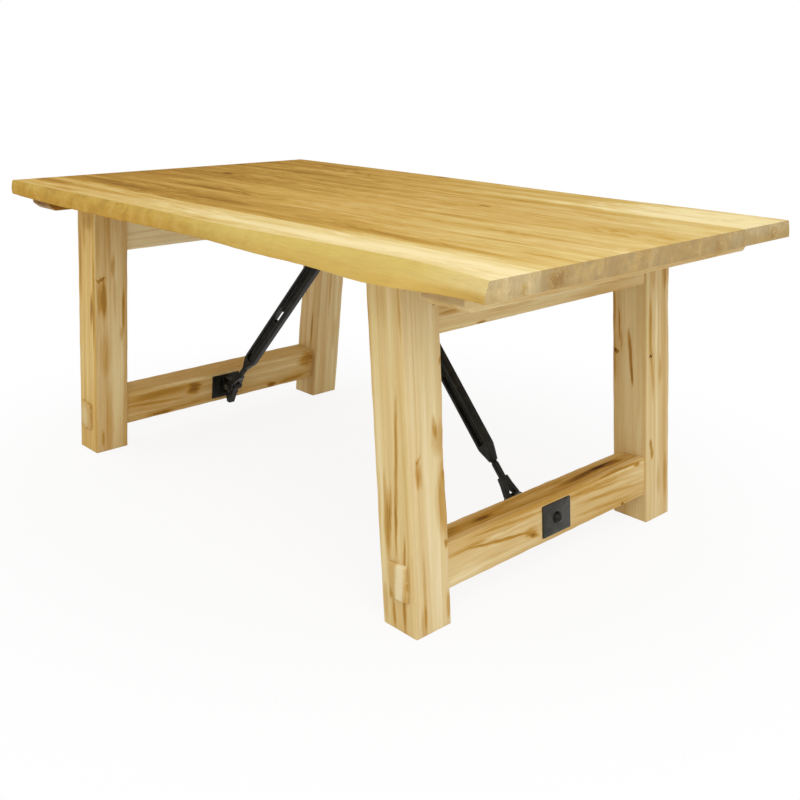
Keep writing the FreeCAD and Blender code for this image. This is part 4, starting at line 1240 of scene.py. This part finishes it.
class TABLE_OT_stretchers(bpy.types.Operator):
    """Make the lower stretchers, the upper rails and the end battens"""

    bl_idname = "table.stretchers"
    bl_label = "Stretchers, rails and battens"
    bl_options = {"REGISTER", "UNDO"}

    def execute(self, context):
        """A stretcher, a rail and a batten for each end."""
        timber = context.scene.table_timber
        for end, e in ENDS.items():
            x = e * (FOOT - 0.05)
            stretcher = Grain((x, 0, 0.12), SIDEWAYS, (-0.05, -0.07), (0.02, 0.03), 5.5 * MM)
            rail = Grain((x, 0, 0.68), SIDEWAYS, (0.06, 0.09), (0.02, -0.02), 5.5 * MM)
            looks = {"spread": 1.4, "bleach": timber.bleach}
            for kind, node, grain, build, own in (
                    ("stretcher", "stretcher", stretcher, stretcher_mesh,
                     {"ends": 0.0, "run": 1.2, "sway_by": 0.03, "ragged_by": 0.7, "sawn_from": 0.4}),
                    ("rail", "top_rail", rail, rail_mesh,
                     {"gloss": 0.1, "run": 2.2, "sway_by": 0.02, "strips": 0.26 - 0.1 * e})):
                tone, streaks, rings, seed, found = BARS["%s_%s" % (node, end)]
                material = timber_material("%s_%s_timber" % (end, kind), grain, seed, tone,
                                           [bar_mark(e, *mark) for mark in found], timber, streaks, rings,
                                           **looks, **own)
                number = int(seed) if kind == "stretcher" else 31 + e
                put_at(end, kind, build(e, number, timber), material, node)
            # Painted shade: the left batten's higher tone and the mark on its near end darken it against the
            # light bounced up from the floor
            batten = Grain((e * BATTEN_X, 0, BATTEN_Z), SIDEWAYS, (0.03, -0.12), (0.02, 0.02), 5.0 * MM)
            near_end = (e * BATTEN_X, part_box("end_cleat_" + end)[0].y, BATTEN_Z + 5 * MM)
            marks = [(near_end, lengths((70, 60, 40)), 0.13 - 0.13 * e)]
            material = timber_material("%s_batten_timber" % end, batten, 43.0 + e, 0.48 - 0.15 * e, marks,
                                       timber, 0.42, 0.08, ends=0.4 + 0.1 * e, gloss=0.1, **looks)
            put_at(end, "batten", cleat_mesh(e, 41 + e, timber), material, "end_cleat")
        return {"FINISHED"}


# Steel
def plate_mesh(end, steel):
    """Outer plate: a sawn plate with eased rims."""
    width, height, ease = PLATE_WIDTH / 2, PLATE_HEIGHT / 2, steel.plate_ease
    rings = []
    for out, inset in ((0.0, 0.0), (PLATE_THICKNESS - ease, 0.0), (PLATE_THICKNESS - 0.4 * ease, 0.3 * ease),
                       (PLATE_THICKNESS, ease)):
        ring = eased(-width + inset, width - inset, -height + inset, height - inset, PLATE_CORNER, 8)
        rings.append(np.column_stack((np.full(len(ring), -STRETCHER_INSET + out), ring[:, 0], ring[:, 1])))
    place = trestle_place(end, 0.0, STRETCHER_MIDDLE)
    mesh = loft(rings)
    mesh.transform(place)
    hole = lathe(((-0.03, STUD_HOLE), (0.03, STUD_HOLE)), place, 40)
    return smooth_mesh(carved(mesh, [hole]))


def nut_mesh(end):
    """Low domed nut: a thin foot under a round head."""
    angles = [math.radians(degrees) for degrees in range(16, 91, 6)]
    dome = [(NUT_RADIUS * math.sin(a) - NUT_SINK, NUT_RADIUS * math.cos(a)) for a in angles]
    place = trestle_place(end, STRETCHER_INSET - PLATE_THICKNESS, STRETCHER_MIDDLE)
    return smooth_mesh(lathe([*NUT_FOOT, *dome], place, 56), 40)


class TABLE_OT_plates(bpy.types.Operator):
    """Make the outer plates and domed nuts and the two brackets of each brace"""

    bl_idname = "table.plates"
    bl_label = "Plates and brackets"
    bl_options = {"REGISTER", "UNDO"}

    def execute(self, context):
        """The steel fixed to the timber at each end."""
        steel = context.scene.table_steel
        black = steel_material("satin_black_steel", steel, 51.0, steel.satin)
        dark = steel_material("bracket_black_steel", steel, 57.0, steel.forged, bloom=0.35, index=1.3)
        polished = steel_material("polished_black_steel", steel, 53.0, steel.glossy, 0.16, 0.16, 1.34)
        for end, e in ENDS.items():
            put_at(end, "outer_plate", plate_mesh(e, steel), black)
            put_at(end, "domed_nut", nut_mesh(e), polished)
            for kind, place in (("lower_bracket", trestle_place(e)), ("upper_bracket", Matrix.Identity(4))):
                mesh = forged("%s_%s" % (kind, end), place, steel.grain_size)
                put_at(end, kind, mesh, dark)
        return {"FINISHED"}


# Threads and screws
def thread_tree():
    """Geometry nodes: a threaded bar with a head and a tip, set on every point along a direction."""
    group = bpy.data.node_groups.new("threaded_bars", "GeometryNodeTree")
    inputs = [("Geometry", "Geometry", None)]
    inputs += [(name, "Float", value) for name, value in THREAD_INPUTS]
    inputs += [("Rows", "Int", 120), ("Direction", "Rotation", None), ("Material", "Material", None)]
    for name, kind, value in inputs:
        socket = group.interface.new_socket(name=name, in_out="INPUT", socket_type="NodeSocket" + kind)
        if value is not None:
            socket.default_value = value
    group.interface.new_socket(name="Geometry", in_out="OUTPUT", socket_type="NodeSocketGeometry")
    tree = Tree(group)
    given = tree.add("NodeGroupInput").outputs()

    grid = tree.add("GeometryNodeMeshGrid", {}, {"Size X": 1.0, "Size Y": 1.0, "Vertices X": given["Rows"],
                                                 "Vertices Y": AROUND + 1}, "Mesh")
    x, y, _ = tree.axes(tree.add("GeometryNodeInputPosition"))
    row = (x + 0.5) * (given["Rows"] - 1)
    turn = (y + 0.5) * math.tau
    along = ((row - HEAD_ROWS) / (given["Rows"] - 2 - HEAD_ROWS)).held() * given["Length"]
    inside = (row / HEAD_ROWS).maths("MINIMUM", 1.0)

    phase = (along / given["Pitch"] - turn / math.tau).maths("FRACT")
    ridge = (phase * 2 - 1).maths("ABSOLUTE")
    started = ((along - given["Head height"]) / given["Pitch"]).held()
    shank = given["Radius"] - ridge * given["Depth"] * started
    left = ((given["Length"] - along) / given["Tip"]).maths("MINIMUM", 1.0)
    shank = shank * (left * 0.7 + 0.3)
    taper = (given["Head radius"] - given["Radius"]) * given["Head taper"] * (along / given["Head height"])
    under = along.maths("LESS_THAN", given["Head height"])
    side = (given["Head radius"] - taper) * under + shank * (1 - under)
    head = row.maths("LESS_THAN", HEAD_ROWS + 0.5)
    last = row.maths("GREATER_THAN", given["Rows"] - 1.5)
    radius = (given["Head radius"] * inside * head + side * (1 - head)) * (1 - last)

    lobes = (turn * 2).maths("COSINE").maths("ABSOLUTE") ** 3 * 0.4 + 0.22
    dip = ((1 - inside / lobes) * 3).held() * given["Recess"] * head
    point = tree.add("ShaderNodeCombineXYZ", {}, {0: along + dip, 1: radius * turn.maths("COSINE"),
                                                  2: radius * turn.maths("SINE")})
    bar = tree.add("GeometryNodeSetPosition", {}, {"Geometry": grid, "Position": point})
    bar = tree.add("GeometryNodeMergeByDistance", {}, {"Geometry": bar, "Distance": 1e-5})
    spread = tree.add("GeometryNodeInstanceOnPoints", {}, {"Points": given["Geometry"], "Instance": bar,
                                                           "Rotation": given["Direction"]})
    real = tree.add("GeometryNodeRealizeInstances", {}, {"Geometry": spread})
    done = tree.add("GeometryNodeSetMaterial", {}, {"Geometry": real, "Material": given["Material"]})
    tree.add("NodeGroupOutput", {}, {0: done})
    return group


def threaded(points, direction, turns, steps, material, **given):
    """Threaded bars from the shared tree, standing on points, with rows of points for each turn of thread."""
    group = bpy.data.node_groups.get("threaded_bars") or thread_tree()
    holder = shown("scratch", mesh_of(points, []))
    modifier = holder.modifiers.new("threads", "NODES")
    modifier.node_group = group
    keys = {item.name: item.identifier for item in group.interface.items_tree if item.in_out == "INPUT"}
    for name, value in given.items():
        modifier[keys[name.replace("_", " ").capitalize()]] = value
    modifier[keys["Rows"]] = HEAD_ROWS + 2 + turns * steps
    modifier[keys["Direction"]] = Vector(direction).to_track_quat("X", "Z").to_euler()
    modifier[keys["Material"]] = material
    return smooth_mesh(cleaned(baked(holder), merge=False), 40)


def jaw_mesh(side, level, material, steel):
    """A forged fork and neck with its threaded rod screwed out of the neck."""
    node = "%s_jaw_%s" % (level, side)
    place = brace_place(side, level)
    reach = max((place.inverted() @ v.co).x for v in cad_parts[node].data.vertices)
    away = block((NECK_END, reach + 0.05), (-0.03, 0.03), (-0.03, 0.03), Matrix.Identity(4))
    fork = forged(node, place, steel.grain_size * 0.9, keep=0.4, cutters=[away])
    start = NECK_END - 1 * MM
    rod = threaded([place @ Vector((start, 0, 0))], place.to_3x3() @ Vector((1, 0, 0)),
                   int((reach - start) / steel.pitch), ROD_STEPS, material, length=reach - start,
                   radius=ROD_RADIUS, pitch=steel.pitch, depth=steel.thread_depth,
                   head_radius=ROD_RADIUS * 0.9, tip=2.5 * MM)
    return smooth_mesh(joined([fork, rod]), 50)


class TABLE_OT_braces(bpy.types.Operator):
    """Make the turnbuckle bodies and their forked jaws with threaded rods"""

    bl_idname = "table.braces"
    bl_label = "Turnbuckle braces"
    bl_options = {"REGISTER", "UNDO"}

    def execute(self, context):
        """Two jaws and a body for each brace."""
        steel = context.scene.table_steel
        black = steel_material("forged_black_steel", steel, 57.0, steel.forged, bloom=0.35, index=1.3)
        for side in ENDS:
            for level in LEVELS:
                put_at(side, level + "_jaw", jaw_mesh(side, level, black, steel), black)
            body = forged("turnbuckle_body_" + side, brace_place(side), steel.grain_size, passes=3)
            put_at(side, "turnbuckle_body", body, black, body=side + "_turnbuckle")
        return {"FINISHED"}


def clevis_pin_mesh(middle, tail, head, outward):
    """A clevis pin across the table: its head at one place, its tail at another."""
    base = Matrix.Translation((middle.x, head, middle.z)) @ Matrix.Rotation(-outward * math.pi / 2, 4, "Z")
    length = abs(head - tail)
    profile = (*PIN_HEAD, (length - PIN_CHAMFER[0], PIN_HEAD[-1][1]), (length, PIN_CHAMFER[1]))
    return smooth_mesh(lathe(profile, base, 36), 40)


def split_pin_mesh(place, at, top):
    """A split pin: wire bent into an eye, its two tails spread below the clevis pin."""
    path = [(0, at, -top - 1 * MM), (0.0035, at, -top + 0.003), (0.001, at, -top + 0.009)]
    path += [(WIRE_SPLIT, at, z) for z in np.linspace(-top + 0.012, top - 0.002, 6)]
    for degrees in range(-70, 251, 20):
        angle = math.radians(degrees)
        path.append((WIRE_EYE * math.cos(angle), at, top + WIRE_EYE + WIRE_EYE * math.sin(angle)))
    path += [(-WIRE_SPLIT, at, z) for z in np.linspace(top - 0.002, -top + 0.012, 6)]
    path += [(-0.001, at, -top + 0.009), (-0.003, at, -top + 0.004), (-0.0055, at, -top + 1 * MM)]
    mesh = sweep(path, WIRE_RADIUS)
    mesh.transform(place)
    return mesh


class TABLE_OT_pins(bpy.types.Operator):
    """Make the clevis pins and the split pins that keep them in"""

    bl_idname = "table.pins"
    bl_label = "Pins"
    bl_options = {"REGISTER", "UNDO"}

    def execute(self, context):
        """Two clevis pins and their split pins for each brace."""
        steel = context.scene.table_steel
        black = steel_material("pin_black_steel", steel, 61.0, steel.satin)
        oxide = steel_material("split_pin_steel", steel, 63.0, steel.oxide)
        for side in ENDS:
            wires = []
            for level in LEVELS:
                low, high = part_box("%s_clevis_pin_%s" % (level, side))
                place = brace_place(side, level)
                tail, head = sorted((low.y, high.y), key=abs, reverse=True)
                outward = 1 if head > tail else -1
                pin = clevis_pin_mesh(place.translation, tail, head, outward)
                put_at(side, level + "_clevis_pin", pin, black)
                at = (tail + outward * WIRE_FROM_TAIL - place.translation.y) * (place.to_3x3() @ ACROSS).y
                wires.append(split_pin_mesh(place, at, WIRE_REACH))
            put_at(side, "split_pins", smooth_mesh(joined(wires), 50), oxide)
        return {"FINISHED"}


class TABLE_OT_screws(bpy.types.Operator):
    """Make the screws of the battens, the brackets and the rails"""

    bl_idname = "table.screws"
    bl_label = "Screws"
    bl_options = {"REGISTER", "UNDO"}

    def execute(self, context):
        """Three groups of screws for each end."""
        steel = context.scene.table_steel
        oxide = steel_material("screw_steel", steel, 67.0, steel.oxide)
        for end, e in ENDS.items():
            for kind, node in (("batten_screws", "cleat_screws"), ("bracket_screws", "bracket_screws")):
                boxes = islands("%s_%s" % (node, end))
                length = boxes[0][1][2] - boxes[0][0][2]
                mesh = threaded(screw_heads(boxes), (0, 0, 1), int(length / SMALL_SCREW["pitch"]),
                                SCREW_STEPS, oxide, length=length, **SMALL_SCREW)
                put_at(end, kind, mesh, oxide, node)
            x, z = leaning(STRETCHER_INSET + STRETCHER_THICKNESS / 2,
                           SLOPE_HEIGHT - LAG_SEAT_DEPTH - LAG_SCREW["head_height"])
            heads = [(x * e, y, z) for _, y, _ in screw_heads(islands("rail_screws_" + end))]
            mesh = threaded(heads, trestle_place(e).to_3x3() @ Vector((0, 0, 1)), LAG_TURNS, SCREW_STEPS,
                            oxide, **LAG_SCREW)
            put_at(end, "rail_screws", mesh, oxide)
        return {"FINISHED"}


# Stage
def seen_rays(tree):
    """1 for rays that come straight from a camera, off a gloss or through glass."""
    path = tree.add("ShaderNodeLightPath").outputs()
    seen = path["Is Camera Ray"] + path["Is Glossy Ray"] + path["Is Transmission Ray"]
    return seen.maths("MINIMUM", 1.0)


def floor_material(stage):
    """Pale floor that keeps the shadow near the table and is plain white further off."""
    material, tree = new_material("studio_floor")
    place = tree.add("ShaderNodeTexCoord", {}, {}, "Object")
    far = tree.vector("LENGTH", place, output="Value")
    paint = tree.add("ShaderNodeBsdfDiffuse", {}, {"Color": solid(stage.floor)})
    glow = tree.add("ShaderNodeEmission", {}, {"Color": WHITE, "Strength": 1.0})
    share = tree.between(far, 0.6, 1.7, 0.87, 1.0) * seen_rays(tree)
    mixed = tree.add("ShaderNodeMixShader", {}, {0: share, 1: paint, 2: glow})
    tree.add("ShaderNodeOutputMaterial", {}, {"Surface": mixed})
    return material


def studio_world(stage):
    """Even pale light from all round, seen as white by the camera and in reflections."""
    world = bpy.data.worlds.new("studio")
    world.use_nodes = True
    tree = Tree(world.node_tree)
    plain = tree.add("ShaderNodeBackground", {}, {"Color": WHITE, "Strength": stage.world_level})
    white = tree.add("ShaderNodeBackground", {}, {"Color": WHITE, "Strength": 1.0})
    mixed = tree.add("ShaderNodeMixShader", {}, {0: seen_rays(tree), 1: plain, 2: white})
    tree.add("ShaderNodeOutputWorld", {}, {"Surface": mixed})
    return world


def lamp(name, place, aim, size, power):
    """A soft square lamp that looks at a point."""
    light = bpy.data.lights.new(name, "AREA")
    light.shape = "SQUARE"
    light.size = size
    light.energy = power
    holder = shown(name, light)
    holder.location = place
    holder.rotation_euler = (Vector(aim) - Vector(place)).to_track_quat("-Z", "Y").to_euler()
    return light


def photo_camera():
    """The camera that took the photograph, as it was fitted."""
    ahead = Vector((-math.sin(CAMERA_YAW) * math.cos(CAMERA_PITCH),
                    math.cos(CAMERA_YAW) * math.cos(CAMERA_PITCH), math.sin(CAMERA_PITCH)))
    right = Vector((math.cos(CAMERA_YAW), math.sin(CAMERA_YAW), 0))
    up = right.cross(ahead)
    c, s = math.cos(CAMERA_ROLL), math.sin(CAMERA_ROLL)
    data = bpy.data.cameras.new("photo_camera")
    data.sensor_width = SENSOR_WIDTH
    data.lens = CAMERA_LENS
    data.shift_x, data.shift_y = CAMERA_SHIFT
    camera = shown("photo_camera", data)
    turn = Matrix((c * right + s * up, -s * right + c * up, -ahead)).transposed().to_4x4()
    camera.matrix_world = Matrix.Translation(CAMERA_PLACE) @ turn
    bpy.context.scene.camera = camera


class TABLE_OT_stage(bpy.types.Operator):
    """Make the floor, the lamps and the photograph's camera"""

    bl_idname = "table.stage"
    bl_label = "Stage"
    bl_options = {"REGISTER", "UNDO"}

    def execute(self, context):
        """A pale studio."""
        stage = context.scene.table_stage
        corners = [(x * FLOOR_HALF, y * FLOOR_HALF, 0) for x, y in ((-1, -1), (1, -1), (1, 1), (-1, 1))]
        mesh = cleaned(mesh_of(corners, [(0, 1, 2, 3)]))
        mesh.materials.append(floor_material(stage))
        shown("studio_floor", mesh)
        context.scene.world = studio_world(stage)
        for name, place, aim, size in LAMPS:
            light = lamp(name + "_lamp", place, aim, size, getattr(stage, name + "_level"))
        light.color = stage.side_tint
        photo_camera()
        context.scene.view_settings.view_transform = "Standard"
        return {"FINISHED"}


OPERATORS = (TABLE_OT_planks, TABLE_OT_legs, TABLE_OT_stretchers, TABLE_OT_plates, TABLE_OT_braces,
             TABLE_OT_pins, TABLE_OT_screws, TABLE_OT_stage)
SETTINGS = {"table_timber": TimberSettings, "table_steel": SteelSettings, "table_stage": StageSettings}


class TABLE_PT_parts(bpy.types.Panel):
    """Buttons for the table's groups of pieces"""

    bl_idname = "TABLE_PT_parts"
    bl_label = "Trestle table"
    bl_space_type = "VIEW_3D"
    bl_region_type = "UI"
    bl_category = "Table"

    def draw(self, context):
        """Settings, then one button for each operator."""
        for group in SETTINGS:
            settings = getattr(context.scene, group)
            for name in settings.bl_rna.properties.keys():
                if name not in ("rna_type", "name"):
                    self.layout.prop(settings, name)
        for operator in OPERATORS:
            self.layout.operator(operator.bl_idname)


CLASSES = (*SETTINGS.values(), *OPERATORS, TABLE_PT_parts)


def register():
    """Registers the classes and the scene's settings."""
    for made in CLASSES:
        bpy.utils.register_class(made)
    for name, kind in SETTINGS.items():
        setattr(bpy.types.Scene, name, bpy.props.PointerProperty(type=kind))


def unregister():
    """Takes the settings and classes out again."""
    for name in SETTINGS:
        delattr(bpy.types.Scene, name)
    for made in reversed(CLASSES):
        bpy.utils.unregister_class(made)


def main():
    """Dresses the whole table."""
    register()
    for operator in OPERATORS:
        group, name = operator.bl_idname.split(".")
        getattr(getattr(bpy.ops, group), name)()


if __name__ == "__main__":
    main()
